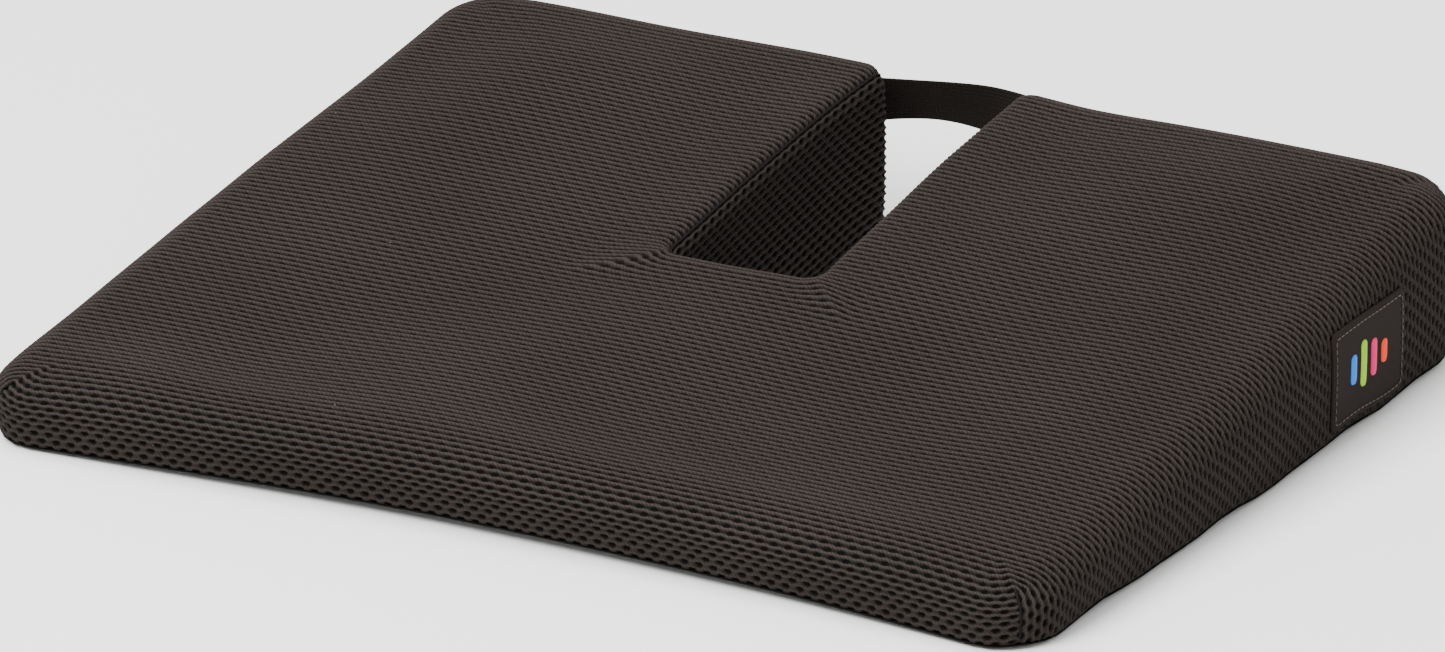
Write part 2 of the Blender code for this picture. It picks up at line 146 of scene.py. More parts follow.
class CushionCloth(PropertyGroup):
    hole_pitch: length("Hole pitch", "From one hole to the next in the same row", 0.0062)
    hole_length: length("Hole length", "Holes in the knitted face, along their row", 0.0033)
    hole_width: length("Hole width", "Holes across their row, where the cloth lies flat", 0.0020)
    open_width: length("Open width", "Holes across their row, where the cloth is drawn over an edge", 0.0024)
    hole_depth: length("Hole depth", "Depth of the holes below the valleys of the ribs", 0.0008)
    rib: length("Rib", "Height of the soft ribs between the rows of holes", 0.0010)
    cells: whole("Cells along", "Mesh cells from one hole to the next in its row", 6)
    row_cells: whole("Cells across", "Mesh cells in one pitch across the rows", 8)
    yarn: finish_colour("Yarn", "Knitted yarn of the face", "#1f1b19")
    hole: finish_colour("Hole", "The dark inside of the holes", "#080605")
    # the hole colour is painted shade: a dark colour for the shadow inside the holes
    lint: finish_colour("Lint", "The few specks of lint that the net holds", "#8d8780")
    base: finish_colour("Base cloth", "Woven cloth underneath", "#1c1a19")
    rubber: finish_colour("Rubber", "Grip dots on the base cloth", "#151516")


class CushionTrim(PropertyGroup):
    webbing: finish_colour("Webbing", "Polypropylene carry strap", "#16110e")
    label: finish_colour("Label", "Woven label", "#1d1613")
    thread: finish_colour("Sewing thread", "Seams and bar tacks", "#0f0c0b")
    edging: finish_colour("Edge thread", "Stitching round the label", "#4a413b")
    tape: finish_colour("Zip tape", "Woven tape beside the teeth", "#201e1d")
    blue: finish_colour("Blue", "First satin bar", "#0084ee")
    green: finish_colour("Green", "Second satin bar", "#9ad400")
    pink: finish_colour("Pink", "Third satin bar", "#ee006c")
    orange: finish_colour("Orange", "Fourth satin bar", "#ff3a05")


class CushionStage(PropertyGroup):
    azimuth: number("Azimuth", "Camera's way round the cushion, degrees", 30.4)
    elevation: number("Elevation", "Camera above the horizon, degrees", 21.2)
    roll: number("Roll", "Camera's turn about its own line of sight, degrees", -0.54)
    distance: length("Distance", "From the camera to the cushion", 6.017)
    lens: number("Lens", "Focal length for a 36 mm sensor, millimetres", 398.6)
    surround: number("Surround", "Strength of the even light from all round", 1.4)
    key: number("Key", "Power of the soft light in front, watts", 76)
    overhead: number("Overhead", "Power of the soft light above, watts", 52)
    floor: finish_colour("Floor", "Plain pale floor", "#f6f6f5")


# ---------------------------------------------------------------- nodes and colours


def linear(colour, alpha=1.0):
    """sRGB hex to the linear colour that Blender's sockets take."""
    parts = [int(colour[i:i + 2], 16) / 255 for i in (1, 3, 5)]
    return (*[c / 12.92 if c <= 0.04045 else ((c + 0.055) / 1.055) ** 2.4 for c in parts], alpha)


def add_node(tree, kind, inputs=None, output=0, **settings):
    """Adds one shader node with its settings, gives each input a value or the socket that feeds it, and
    returns one of its output sockets."""
    made = tree.nodes.new("ShaderNode" + kind)
    for key, value in settings.items():
        setattr(made, key, value)
    for key, value in (inputs or {}).items():
        if isinstance(value, bpy.types.NodeSocket):
            tree.links.new(value, made.inputs[key])
        else:
            made.inputs[key].default_value = value
    return made.outputs[output]


def new_material(name, **values):
    """A Principled material with these socket values.  Returns the material, its tree and its shader."""
    made = bpy.data.materials.new(name)
    made.use_nodes = True
    tree = made.node_tree
    shader = tree.nodes["Principled BSDF"]
    for key, value in values.items():
        shader.inputs[key.replace("_", " ").title().replace("Ior", "IOR")].default_value = value
    return made, tree, shader


def feed(tree, shader, sources):
    """Links each socket to the shader's input of that name."""
    for key, socket in sources.items():
        tree.links.new(socket, shader.inputs[key])


def spacer_mesh(cloth):
    """Polyester warp-knit spacer mesh: a matt yarn net round staggered holes, with hardly any gloss.

    The knitted loops are 0.5 mm apart on the real cloth and are drawn at 0.9 mm, so that they show.
    """
    loop_pitch = 0.0009
    made, tree, shader = new_material("spacer_mesh_polyester", roughness=0.85, specular_ior_level=0.06)
    uv = add_node(tree, "UVMap", uv_map="cloth")
    scaled = add_node(tree, "VectorMath", {0: uv, 1: (1 / cloth.hole_pitch,) * 3}, operation="MULTIPLY")
    opened = add_node(tree, "Attribute", output="Fac", attribute_name="open")

    # oval holes at whole and at half pitches, filled with painted shade, with an uneven edge of yarn
    shut, wide = (2 * cloth.hole_pitch / size for size in (cloth.hole_width, cloth.open_width))
    across = add_node(tree, "MapRange", {"Value": opened, "To Min": shut, "To Max": wide})
    squeeze = add_node(tree, "CombineXYZ", {0: 2 * cloth.hole_pitch / cloth.hole_length, 1: across})
    spans = []
    for shift in (0.5, 0.0):
        moved = add_node(tree, "VectorMath", {0: scaled, 1: (shift, shift, 0)}, operation="ADD")
        part = add_node(tree, "VectorMath", {0: moved}, operation="FRACTION")
        centred = add_node(tree, "VectorMath", {0: part, 1: (0.5, 0.5, 0)}, operation="SUBTRACT")
        oval = add_node(tree, "VectorMath", {0: centred, 1: squeeze}, operation="MULTIPLY")
        spans.append(add_node(tree, "VectorMath", {0: oval}, "Value", operation="LENGTH"))
    span = add_node(tree, "Math", {0: spans[0], 1: spans[1]}, operation="MINIMUM")
    uneven = add_node(tree, "TexNoise", {"Vector": uv, "Scale": 900.0, "Detail": 2.0})
    edge = add_node(tree, "Math", {0: uneven, 1: 0.5, 2: span}, operation="MULTIPLY_ADD")
    land = add_node(tree, "MapRange", {"Value": edge, "From Min": 0.85, "From Max": 1.55},
                    interpolation_type="SMOOTHSTEP")

    # the knitted loops and slow patches of tone in the yarn
    bands = 1 / loop_pitch / math.tau * 2
    loops = add_node(tree, "TexWave", {"Vector": uv, "Scale": bands, "Distortion": 2.0, "Detail": 1.0,
                                       "Detail Scale": 2.0}, "Fac", bands_direction="DIAGONAL")
    patches = add_node(tree, "TexNoise", {"Vector": uv, "Scale": 14.0, "Detail": 3.0})
    tone = add_node(tree, "MapRange", {"Value": patches, "To Min": 0.80, "To Max": 1.15})
    loop_tone = add_node(tree, "MapRange", {"Value": loops, "To Min": 0.72, "To Max": 1.12})
    dye = add_node(tree, "Math", {0: tone, 1: loop_tone}, operation="MULTIPLY")
    yarn = add_node(tree, "VectorMath", {0: linear(cloth.yarn)[:3], 1: dye}, operation="MULTIPLY")

    # painted highlight on the crests of the ribs between the rows of holes and painted shade in their
    # valleys, less so where the cloth is drawn tight
    rise = add_node(tree, "SeparateXYZ", {0: scaled}, 1)
    flat = add_node(tree, "Math", {0: opened, 1: -0.75, 2: 1.0}, operation="MULTIPLY_ADD")
    turn = add_node(tree, "Math", {0: rise, 1: 2 * math.tau}, operation="MULTIPLY")
    wave = add_node(tree, "Math", {0: turn}, operation="COSINE")
    ridge = add_node(tree, "Math", {0: wave, 1: flat}, operation="MULTIPLY")
    rib_painted_light = add_node(tree, "MapRange", {"Value": ridge, "From Min": 1.0, "From Max": -1.0, "To Min": 0.36,
                                        "To Max": 2.5})
    # the yarn takes the ribs' painted highlight and painted shade
    yarn = add_node(tree, "VectorMath", {0: yarn, 1: rib_painted_light}, operation="MULTIPLY")
    # painted shade: the holes take the dark hole colour in place of their shadow
    net = add_node(tree, "Mix", {0: land, 6: linear(cloth.hole), 7: yarn}, 2, data_type="RGBA")

    lint = add_node(tree, "TexVoronoi", {"Vector": uv, "Scale": 70.0}, "Distance")
    speck = add_node(tree, "MapRange", {"Value": lint, "From Min": 0.018, "From Max": 0.010, "To Max": 0.5})
    colour = add_node(tree, "Mix", {0: speck, 6: net, 7: linear(cloth.lint)}, 2, data_type="RGBA")
    raised = add_node(tree, "Math", {0: land, 1: 0.8}, operation="MULTIPLY")
    height = add_node(tree, "Math", {0: loops, 1: 0.18, 2: raised}, operation="MULTIPLY_ADD")
    bump = add_node(tree, "Bump", {"Height": height, "Distance": 0.0006, "Strength": 0.7})
    feed(tree, shader, {"Base Color": colour, "Normal": bump})
    return made


def woven(name, colour, across, along, depth, own_map=True, **values):
    """Plain-woven cloth: threads crossing at these two spacings, in metres, on the piece's own map or on its
    place.  It gives a fine matt grain with no direction."""
    made, tree, shader = new_material(name, **values)
    if own_map:
        uv = add_node(tree, "UVMap", uv_map="cloth")
    else:
        uv = add_node(tree, "TexCoord", output="Object")
    threads = []
    split = add_node(tree, "SeparateXYZ", {0: uv}).node.outputs
    for place, spacing in zip(split, (across, along)):
        turn = add_node(tree, "Math", {0: place, 1: math.tau / spacing}, operation="MULTIPLY")
        threads.append(add_node(tree, "Math", {0: turn}, operation="SINE"))
    over = add_node(tree, "Math", {0: threads[0], 1: threads[1]}, operation="MULTIPLY")
    grain = add_node(tree, "TexNoise", {"Vector": uv, "Scale": 1400.0, "Detail": 2.0})
    fuzz = add_node(tree, "Math", {0: grain, 1: 0.5}, operation="MULTIPLY")
    height = add_node(tree, "Math", {0: over, 1: 0.5, 2: fuzz}, operation="MULTIPLY_ADD")
    tone = add_node(tree, "MapRange", {"Value": height, "From Min": -0.4, "From Max": 0.9, "To Min": 0.55,
                                       "To Max": 1.3})
    shade = add_node(tree, "VectorMath", {0: linear(colour)[:3], 1: tone}, operation="MULTIPLY")
    bump = add_node(tree, "Bump", {"Height": height, "Distance": depth, "Strength": 1.0})
    feed(tree, shader, {"Base Color": shade, "Normal": bump})
    return made


def thread(name, colour, pitch, **values):
    """Stitched thread, rayon or bonded: strands side by side at this pitch, with a soft gloss along them."""
    made, tree, shader = new_material(name, **values)
    uv = add_node(tree, "UVMap", uv_map="cloth")
    place = add_node(tree, "SeparateXYZ", {0: uv}, 1)
    turn = add_node(tree, "Math", {0: place, 1: math.tau / pitch}, operation="MULTIPLY")
    line = add_node(tree, "Math", {0: turn}, operation="SINE")
    fuzz = add_node(tree, "TexNoise", {"Vector": uv, "Scale": 2500.0, "Detail": 2.0})
    strand = add_node(tree, "Math", {0: line, 1: 0.14, 2: 0.80}, operation="MULTIPLY_ADD")
    tone = add_node(tree, "Math", {0: fuzz, 1: 0.35, 2: strand}, operation="MULTIPLY_ADD")
    shade = add_node(tree, "VectorMath", {0: linear(colour)[:3], 1: tone}, operation="MULTIPLY")
    bump = add_node(tree, "Bump", {"Height": line, "Distance": 0.00012, "Strength": 1.0})
    feed(tree, shader, {"Base Color": shade, "Normal": bump})
    return made


def foam(name, colour, cell):
    """Open-cell polyurethane foam: matt, with a fine sponge of pores."""
    made, tree, shader = new_material(name, roughness=0.95, specular_ior_level=0.2)
    place = add_node(tree, "TexCoord", output="Object")
    pores = add_node(tree, "TexVoronoi", {"Vector": place, "Scale": 1 / cell}, "Distance")
    tone = add_node(tree, "MapRange", {"Value": pores, "From Max": 0.8, "To Min": 0.72, "To Max": 1.05})
    shade = add_node(tree, "VectorMath", {0: linear(colour)[:3], 1: tone}, operation="MULTIPLY")
    bump = add_node(tree, "Bump", {"Height": pores, "Distance": 0.0006, "Strength": 0.8})
    feed(tree, shader, {"Base Color": shade, "Normal": bump})
    return made


def lacquered_zinc():
    """Die-cast zinc under black lacquer: a dull gloss, with fine handling marks that break the highlight."""
    made, tree, shader = new_material("black_lacquered_zinc", base_color=linear("#161617"), metallic=0.3,
                                      coat_weight=0.25, coat_roughness=0.25)
    place = add_node(tree, "TexCoord", output="Object")
    marks = add_node(tree, "TexNoise", {"Vector": place, "Scale": 420.0, "Detail": 4.0})
    rough = add_node(tree, "MapRange", {"Value": marks, "To Min": 0.22, "To Max": 0.50})
    bump = add_node(tree, "Bump", {"Height": marks, "Distance": 0.00003, "Strength": 0.5})
    feed(tree, shader, {"Roughness": rough, "Normal": bump})
    return made


def nylon_monofilament():
    """Drawn nylon filament, dyed black: smooth, with a soft gloss and faint streaks."""
    made, tree, shader = new_material("nylon_monofilament", roughness=0.45, ior=1.53, specular_ior_level=0.3)
    place = add_node(tree, "TexCoord", output="Object")
    streaks = add_node(tree, "TexNoise", {"Vector": place, "Scale": 900.0, "Detail": 1.0})
    shade = add_node(tree, "Mix", {0: streaks, 6: linear("#121212"), 7: linear("#262626")}, 2,
                     data_type="RGBA")
    feed(tree, shader, {"Base Color": shade})
    return made


def rubber_print(colour):
    """Silicone rubber printed in dots: dull, with a faint orange-peel skin."""
    made, tree, shader = new_material("silicone_rubber_print", base_color=linear(colour), roughness=0.55)
    place = add_node(tree, "TexCoord", output="Object")
    skin = add_node(tree, "TexNoise", {"Vector": place, "Scale": 1500.0})
    bump = add_node(tree, "Bump", {"Height": skin, "Distance": 0.00003, "Strength": 1.0})
    feed(tree, shader, {"Normal": bump})
    return made


# ---------------------------------------------------------------- meshes


def grid_faces(rows, columns, keep=None):
    """Quads of a grid of points stored row by row; keep says which cells are wanted."""
    if keep is None:
        keep = np.ones((rows - 1, columns - 1), bool)
    j, i = np.nonzero(keep)
    corner = j * columns + i
    return np.stack([corner, corner + 1, corner + columns + 1, corner + columns], axis=1)


def cells_touching(inside):
    """Cells of which at least one corner is inside."""
    return inside[:-1, :-1] | inside[1:, :-1] | inside[:-1, 1:] | inside[1:, 1:]


def add_mesh(name, points, faces, cloth=None, smooth=True):
    """A mesh object from whole arrays.  cloth is where each point lies on the flat cloth, in metres."""
    used, faces = np.unique(faces, return_inverse=True)
    faces = faces.reshape(-1, 4)
    mesh = bpy.data.meshes.new(name)
    mesh.vertices.add(len(used))
    mesh.vertices.foreach_set("co", np.ascontiguousarray(points[used], np.float32).ravel())
    mesh.loops.add(faces.size)
    mesh.loops.foreach_set("vertex_index", faces.astype(np.int32).ravel())
    mesh.polygons.add(len(faces))
    mesh.polygons.foreach_set("loop_start", np.arange(0, faces.size, 4, dtype=np.int32))
    mesh.update(calc_edges=True)
    mesh.polygons.foreach_set("use_smooth", np.full(len(faces), smooth))
    if cloth is not None:
        layer = mesh.uv_layers.new(name="cloth")
        layer.uv.foreach_set("vector", np.ascontiguousarray(cloth[used][faces.ravel()], np.float32).ravel())
    obj = bpy.data.objects.new(name, mesh)
    bpy.context.scene.collection.objects.link(obj)
    return obj, used


def read_points(obj):
    points = np.empty(len(obj.data.vertices) * 3, np.float32)
    obj.data.vertices.foreach_get("co", points)
    return points.reshape(-1, 3).astype(float)


def write_points(obj, points):
    obj.data.vertices.foreach_set("co", np.ascontiguousarray(points, np.float32).ravel())
    obj.data.update()


def press_in(obj, depth):
    """Moves every point inwards along its own normal by its own depth."""
    normals = np.empty(len(obj.data.vertices) * 3, np.float32)
    obj.data.vertices.foreach_get("normal", normals)
    write_points(obj, read_points(obj) - normals.reshape(-1, 3) * depth[:, None])


def merge_points(obj, distance=0.00001):
    """Joins points that lie closer than this, and drops the faces and edges that it leaves without a size."""
    bm = bmesh.new()
    bm.from_mesh(obj.data)
    bmesh.ops.remove_doubles(bm, verts=bm.verts, dist=distance)
    bmesh.ops.dissolve_degenerate(bm, edges=bm.edges, dist=1e-7)
    bm.to_mesh(obj.data)
    bm.free()


def tube(name, centre, across, radius, sides, mapped=False):
    """A closed round tube along a line of centres: a circle square to the line at each centre, and a point at
    each end.  across is a direction at each centre that isn't along the line."""
    along = np.gradient(centre, axis=0)
    along /= np.linalg.norm(along, axis=1, keepdims=True)
    across = across - np.sum(across * along, axis=1, keepdims=True) * along
    across /= np.linalg.norm(across, axis=1, keepdims=True)
    third = np.cross(along, across)
    turn = np.arange(sides + 1) * math.tau / sides
    ring = np.cos(turn)[None, :, None] * across[:, None] + np.sin(turn)[None, :, None] * third[:, None]
    first, last = (centre[at, None].repeat(sides + 1, 1) for at in (slice(0, 1), slice(-1, None)))
    points = np.concatenate([first, centre[:, None] + ring * radius, last])
    cloth = None
    if mapped:
        steps = np.concatenate([[0, 0], np.cumsum(np.linalg.norm(np.diff(centre, axis=0), axis=1))])
        steps = np.append(steps, steps[-1])
        cloth = np.stack(np.broadcast_arrays((turn * radius)[None], steps[:, None]), axis=-1).reshape(-1, 2)
    obj, _ = add_mesh(name, points.reshape(-1, 3), grid_faces(len(points), sides + 1), cloth)
    merge_points(obj, 0.000005)
    return obj


def seam_cord(name, line, radius=0.0006):
    """The sewn ridge of a seam: a thin cord along it, taken at even steps."""
    steps = np.concatenate([[0], np.cumsum(np.linalg.norm(np.diff(line, axis=0), axis=1))])
    fresh = np.linspace(0, steps[-1], max(int(steps[-1] / 0.0015), 8))
    line = np.stack([np.interp(fresh, steps, line[:, k]) for k in range(3)], axis=1)
    along = np.gradient(line, axis=0)
    level = np.abs(along[:, 2:]) < 0.7 * np.linalg.norm(along, axis=1, keepdims=True)
    return tube(name, line, np.where(level, [0, 0, 1.0], [1.0, 0.3, 0]), radius, 6, mapped=True)


def dress(obj, material, body="cushion", nodes=()):
    """Gives a finished piece its material and the body it rides on, and hides the CAD nodes that it stands
    for.
    A CAD node that stays as it is has its body already, so it is given none."""
    obj.data.materials.clear()
    obj.data.materials.append(material)
    if body:
        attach(obj, body)
    if nodes:
        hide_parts(*nodes)
    return obj


# ---------------------------------------------------------------- the cushion's form


def smooth_step(value):
    value = np.clip(value, 0.0, 1.0)
    return value * value * (3 - 2 * value)


def top_height(form, y):
    """The plain sloping plane of the top."""
    return form.front_height + (form.rear_height - form.front_height) * (y - FRONT_Y) / (REAR_Y - FRONT_Y)


def grid_weights(points):
    """The eight corners of the padding grid round each point, and their trilinear shares."""
    place = np.clip((points - PADDING_LOW) / PADDING_CELL, 0, np.array(PADDING_SHAPE) - 1.001)
    base = place.astype(int)
    part = (place - base)[:, None]
    corners = np.array(list(np.ndindex(2, 2, 2)))
    share = np.prod(np.where(corners, part, 1 - part), axis=-1)
    return np.ravel_multi_index(np.moveaxis(base[:, None] + corners, -1, 0), PADDING_SHAPE), share


def swell(points):
    """Moves points by the push that the padding operator has worked out.  Nothing near the seat moves."""
    if not padding.any():
        return points
    index, share = grid_weights(points)
    push = np.sum(padding.reshape(-1, 3)[index] * share[..., None], axis=1)
    return points + push * smooth_step((points[:, 2:] - 0.006) / 0.014)


def settle(form, points):
    """The soft shape.  Each term is a product of bell or parabola shapes of x and y, in metres:

    the middle of the front edge draws back and curls up, its left end lies further forward, the left lobe's
    foot stands out at the notch's mouth, the right lobe's rim leans into the notch, the sides draw in towards
    the rear, the top sinks in two shallow bells under the thighs and along its rims, the rim underneath
    lifts in short folds, long waves run across the top, and the rows of the knit drift a little sideways.
    The rest of the underside stays flat, so that the zip and the base stay where they are.
    """
    x, y, z = points.T.copy()
    share = np.clip(z / top_height(form, y), 0.0, 1.0)
    bow = np.clip(1 - (x / (HALF_WIDTH * 0.93)) ** 2, 0.0, 1.0)
    near_front = np.exp(-(((y - FRONT_Y) / 0.055) ** 2))
    near_rear = smooth_step((y - FRONT_Y - 0.15) / 0.20)
    new_y = y + form.setback * bow * near_front
    ends = smooth_step((-0.02 - x) / 0.16) + 0.4 * smooth_step((x - 0.10) / 0.12)
    new_y -= form.skew * ends * np.exp(-(((y - FRONT_Y) / 0.12) ** 2))
    mouth = np.exp(-(((x + 0.045) / 0.030) ** 2)) * smooth_step((y - REAR_Y + 0.035) / 0.035)
    mouth = mouth * (1 - share) ** 0.7
    new_y += form.mouth_bulge * mouth
    new_z = z + form.lift * bow * np.exp(-(((y - FRONT_Y) / 0.035) ** 2)) * (1 - 0.25 * share)
    new_x = x - np.sign(x) * form.taper * near_rear * smooth_step((np.abs(x) - 0.10) / 0.12)
    bulge = 4 * share * (1 - share) * smooth_step((np.abs(x) - 0.20) / 0.03)
    new_x += np.sign(x) * 0.0015 * bulge + 0.5 * form.mouth_bulge * mouth
    lobe = np.exp(-(((x - 0.040) / 0.022) ** 2)) * smooth_step((y - NOTCH_Y - 0.02) / 0.09) * share
    new_x -= form.lean * lobe
    thighs = np.exp(-(((np.abs(x) - 0.105) / 0.075) ** 2) - ((y - FRONT_Y - 0.095) / 0.075) ** 2)
    wave = np.sin(x * 21 + 0.6) * np.sin(y * 26 + 1.1) + 0.5 * np.sin(x * 47 - 1.3) * np.sin(y * 39 + 0.4)
    edge = smooth_step((HALF_WIDTH - np.abs(x)) / 0.05) * smooth_step((y - FRONT_Y) / 0.04)
    rim = 0.5 - 0.5 * smooth_step((REAR_Y - y) / 0.05)
    rim = np.maximum(1 - smooth_step((HALF_WIDTH - np.abs(x)) / 0.07), rim)
    new_z += share ** 2 * (-form.hollow * thighs * edge + 0.0006 * wave * edge - form.crown * rim)
    new_z += 0.4 * form.lean * lobe
    new_z -= form.brow * share ** 2 * (1 - smooth_step((y - FRONT_Y) / 0.042)) ** 2
    folds = 0.5 + 0.3 * np.sin(y * 71 + x * 9 + 2.2) + 0.2 * np.sin(y * 127 - x * 31)
    new_z += form.curl * folds * (1 - share) * (1 - smooth_step((HALF_WIDTH - np.abs(x)) / 0.022))
    from_notch = np.hypot(np.maximum(np.abs(x) - NOTCH_HALF, 0), np.maximum(NOTCH_Y - y, 0))
    inland = edge * smooth_step((from_notch - 0.006) / 0.03)
    new_x += 0.0010 * share * inland * np.sin(y * 37 + x * 12)
    new_y += 0.0018 * share * inland * np.sin(x * 34 + 0.5) * np.sin(y * 19 + 1.0 + x * 8)
    return swell(np.stack([new_x, new_y, new_z], axis=1))


def roll(run, radius):
    """Cloth over an edge: flat before it, a quarter round, then straight down.  Plan distance and drop."""
    angle = np.clip(run / radius, 0.0, math.pi / 2)
    plan = np.where(run < 0, run, radius * np.sin(angle))
    drop = radius * (1 - np.cos(angle)) + np.maximum(run - radius * math.pi / 2, 0.0)
    return plan, drop


def tuck(form, z):
    """How far the side has turned under at this height."""
    below = np.clip(form.base_tuck - z, 0.0, form.base_tuck)
    return form.base_tuck - np.sqrt(form.base_tuck ** 2 - below ** 2)


def edge_section(form, share):
    """Roll radius and the angle where the top panel's seam lies; share is 1 at the notch, 0 at the rear."""
    notch_angle = math.radians(50)
    share = smooth_step(share)
    radius = form.edge_roll + (form.notch_roll - form.edge_roll) * share
    angle = math.pi / 2 + (notch_angle - math.pi / 2) * share
    return radius, angle


def outer_wrap(form, u, v):
    """Cloth over the outer edges.  Rings of the flat cloth round a corner's centre become circles, as far as
    the dart; below the dart the cloth of each side hangs straight down.

    Returns how far the cloth runs past the side's crease and past the front or rear one, the larger of the
    two, the way round the corner, the run past the start of the roll, the dart's reach and the roll's length.
    """
    turn = form.corner_radius
    crease_x, front, rear = HALF_WIDTH - turn, FRONT_Y + turn, REAR_Y - turn
    p, q = np.abs(u) - crease_x, np.maximum(front - v, v - rear)
    dart = turn * math.pi / 4
    big = np.maximum(np.maximum(p, q), 0.0)
    small = np.clip(np.minimum(p, q), 0.0, dart)
    angle = math.pi / 4 * small / np.maximum(np.minimum(big, dart), TINY)
    run = big - (turn - form.edge_roll)
    limit = form.edge_roll * math.pi / 2
    return p, q, big, angle, run, dart, limit


def wrap(form, u, v, band=False):
    """Carries the flat cloth (u, v) over the cushion before it settles.

    Returns the points and a dict of measures: the run past the panel's seam, the distances to the dart and to
    the seam underneath, where the rear is, and how tightly the cloth is drawn.
    """
    turn, mouth, inner = form.corner_radius, form.mouth_radius, form.notch_corner
    side = np.sign(u) + (u == 0)
    x_abs = np.abs(u)
    p, q, big, angle, run, dart, limit = outer_wrap(form, u, v)
    rear_half = v > (FRONT_Y + REAR_Y) / 2
    at_rear = (q >= p) & rear_half
    excess = np.where(at_rear, run - limit, -1.0)
    held = np.where(at_rear, np.maximum(run, limit) if band else np.minimum(run, limit), run)
    plan, drop = roll(held, form.edge_roll)
    reach = np.maximum(turn - form.edge_roll + plan, 0.0)
    along, across = reach * np.cos(angle), reach * np.sin(angle)
    x = np.where(p > 0, HALF_WIDTH - turn + np.where(p >= q, along, across), x_abs)
    crease_y = np.where(rear_half, REAR_Y - turn, FRONT_Y + turn)
    y = np.where(q > 0, crease_y + np.where(rear_half, 1, -1) * np.where(p >= q, across, along), v)
    dart_gap = np.where(big > dart, dart - np.minimum(p, q), FAR)
    centre_x, centre_y = np.where(p > 0, HALF_WIDTH - turn, x), np.where(q > 0, crease_y, y)

    # along the notch's sides and round its mouth
    by_notch = (x_abs < NOTCH_HALF + mouth) & (v > NOTCH_Y + inner)
    p2, q2 = NOTCH_HALF + mouth - x_abs, v - (REAR_Y - mouth)
    dart2 = mouth * math.pi / 4
    big2 = np.maximum(np.maximum(p2, q2), 0.0)
    small2 = np.clip(np.minimum(p2, q2), 0.0, dart2)
    angle2 = math.pi / 4 * small2 / np.maximum(np.minimum(big2, dart2), TINY)
    share = np.where(q2 > p2, angle2 / (math.pi / 2), 1 - angle2 / (math.pi / 2))
    radius2, seam2 = edge_section(form, share)
    run2, limit2 = big2 - (mouth - radius2), radius2 * seam2
    held2 = np.maximum(run2, limit2) if band else np.minimum(run2, limit2)
    plan2, drop2 = roll(held2, radius2)
    reach2 = mouth - radius2 + plan2
    along2, across2 = reach2 * np.cos(angle2), reach2 * np.sin(angle2)
    x2 = NOTCH_HALF + mouth - np.where(p2 >= q2, along2, across2)
    y2 = np.where(q2 > 0, REAR_Y - mouth + np.where(p2 >= q2, across2, along2), v)

    # round the notch's inner end; the bend fades out of the flat cloth beside it
    near, blend = 0.05, 0.022
    by_end = (x_abs < NOTCH_HALF + near) & (v <= NOTCH_Y + inner) & (v > NOTCH_Y - near)
    p3, q3 = x_abs - (NOTCH_HALF - inner), NOTCH_Y + inner - v
    radius3, seam3 = edge_section(form, 1.0)
    start = inner + radius3
    big3 = np.maximum(np.maximum(p3, q3), 0.0)
    small3 = np.maximum(np.minimum(p3, q3), 0.0)
    angle3 = math.pi / 4 * small3 / np.maximum(big3, TINY)
    run3, limit3 = start - big3, radius3 * seam3
    plan3, drop3 = roll(np.minimum(run3, limit3), radius3)
    reach3 = start - plan3
    along3, across3 = reach3 * np.cos(angle3), reach3 * np.sin(angle3)
    ring_x = NOTCH_HALF - inner + np.where(p3 >= q3, along3, across3)
    ring_y = NOTCH_Y + inner - np.where(p3 >= q3, across3, along3)
    fade = smooth_step(-run3 / blend)
    x3 = np.where(p3 > 0, ring_x + (x_abs - ring_x) * fade, x_abs)
    y3 = np.where(p3 > 0, ring_y + (v - ring_y) * fade, NOTCH_Y + inner - reach3)

    for chosen, values in ((by_notch, (x2, y2, drop2, run2 - limit2)),
                           (by_end, (x3, y3, drop3, run3 - limit3))):
        x, y, drop, excess = (np.where(chosen, new, old) for new, old in zip(values, (x, y, drop, excess)))
    dart_gap = np.where(by_notch, np.where(big2 > dart2, dart2 - np.minimum(p2, q2), FAR), dart_gap)
    at_rear = np.where(by_notch, q2 >= p2, at_rear) & ~by_end
    free_z = top_height(form, y) - drop
    z = np.maximum(free_z, SEAM_Z)
    inset = tuck(form, z)
    flank = ~(by_notch | by_end)
    out_x, out_y = x - centre_x, y - centre_y
    size = np.maximum(np.hypot(out_x, out_y), TINY)
    x = x - np.where(flank, out_x / size * inset * (drop > 0), 0.0)
    y = y - np.where(flank, out_y / size * inset * (drop > 0), 0.0)
    y = np.where(by_notch & (q2 > 0), y - inset, y)
    points = np.stack([side * x, y, z], axis=-1)
    return points, {"excess": excess, "dart": dart_gap, "hang": free_z - SEAM_Z, "rear": at_rear,
                    "open": smooth_step(drop / form.edge_roll / 1.5)}


def knit_depth(cloth, lattice, opened):
    """How deep the knitted face lies below the tops of its ribs, from a place on the flat cloth.

    Oval holes stand at whole pitches and halfway between; a shallow cosine valley runs along each row.
    Where the cloth is drawn over an edge (opened = 1), the holes are wider and the ribs nearly gone.
    """
    near = np.full(lattice.shape[:-1], 9.0)
    wide = cloth.hole_width + (cloth.open_width - cloth.hole_width) * opened
    half = np.stack(np.broadcast_arrays(cloth.hole_length, wide), axis=-1) / 2
    for shift in (0.0, 0.5):
        part = lattice / cloth.hole_pitch - shift
        near = np.minimum(near, np.linalg.norm((part - np.round(part)) * cloth.hole_pitch / half, axis=-1))
    rows = 0.5 + 0.5 * np.cos(lattice[..., 1] * 2 * math.tau / cloth.hole_pitch)
    holes = cloth.hole_depth * (1 + 0.6 * opened) * smooth_step(1.5 - near)
    return holes + cloth.rib * (1 - 0.7 * opened) * rows


def groove(distance, width=0.0014):
    """A seam's valley: deepest on the seam and gone a width away."""
    return np.exp(-((np.abs(distance) / width) ** 2))


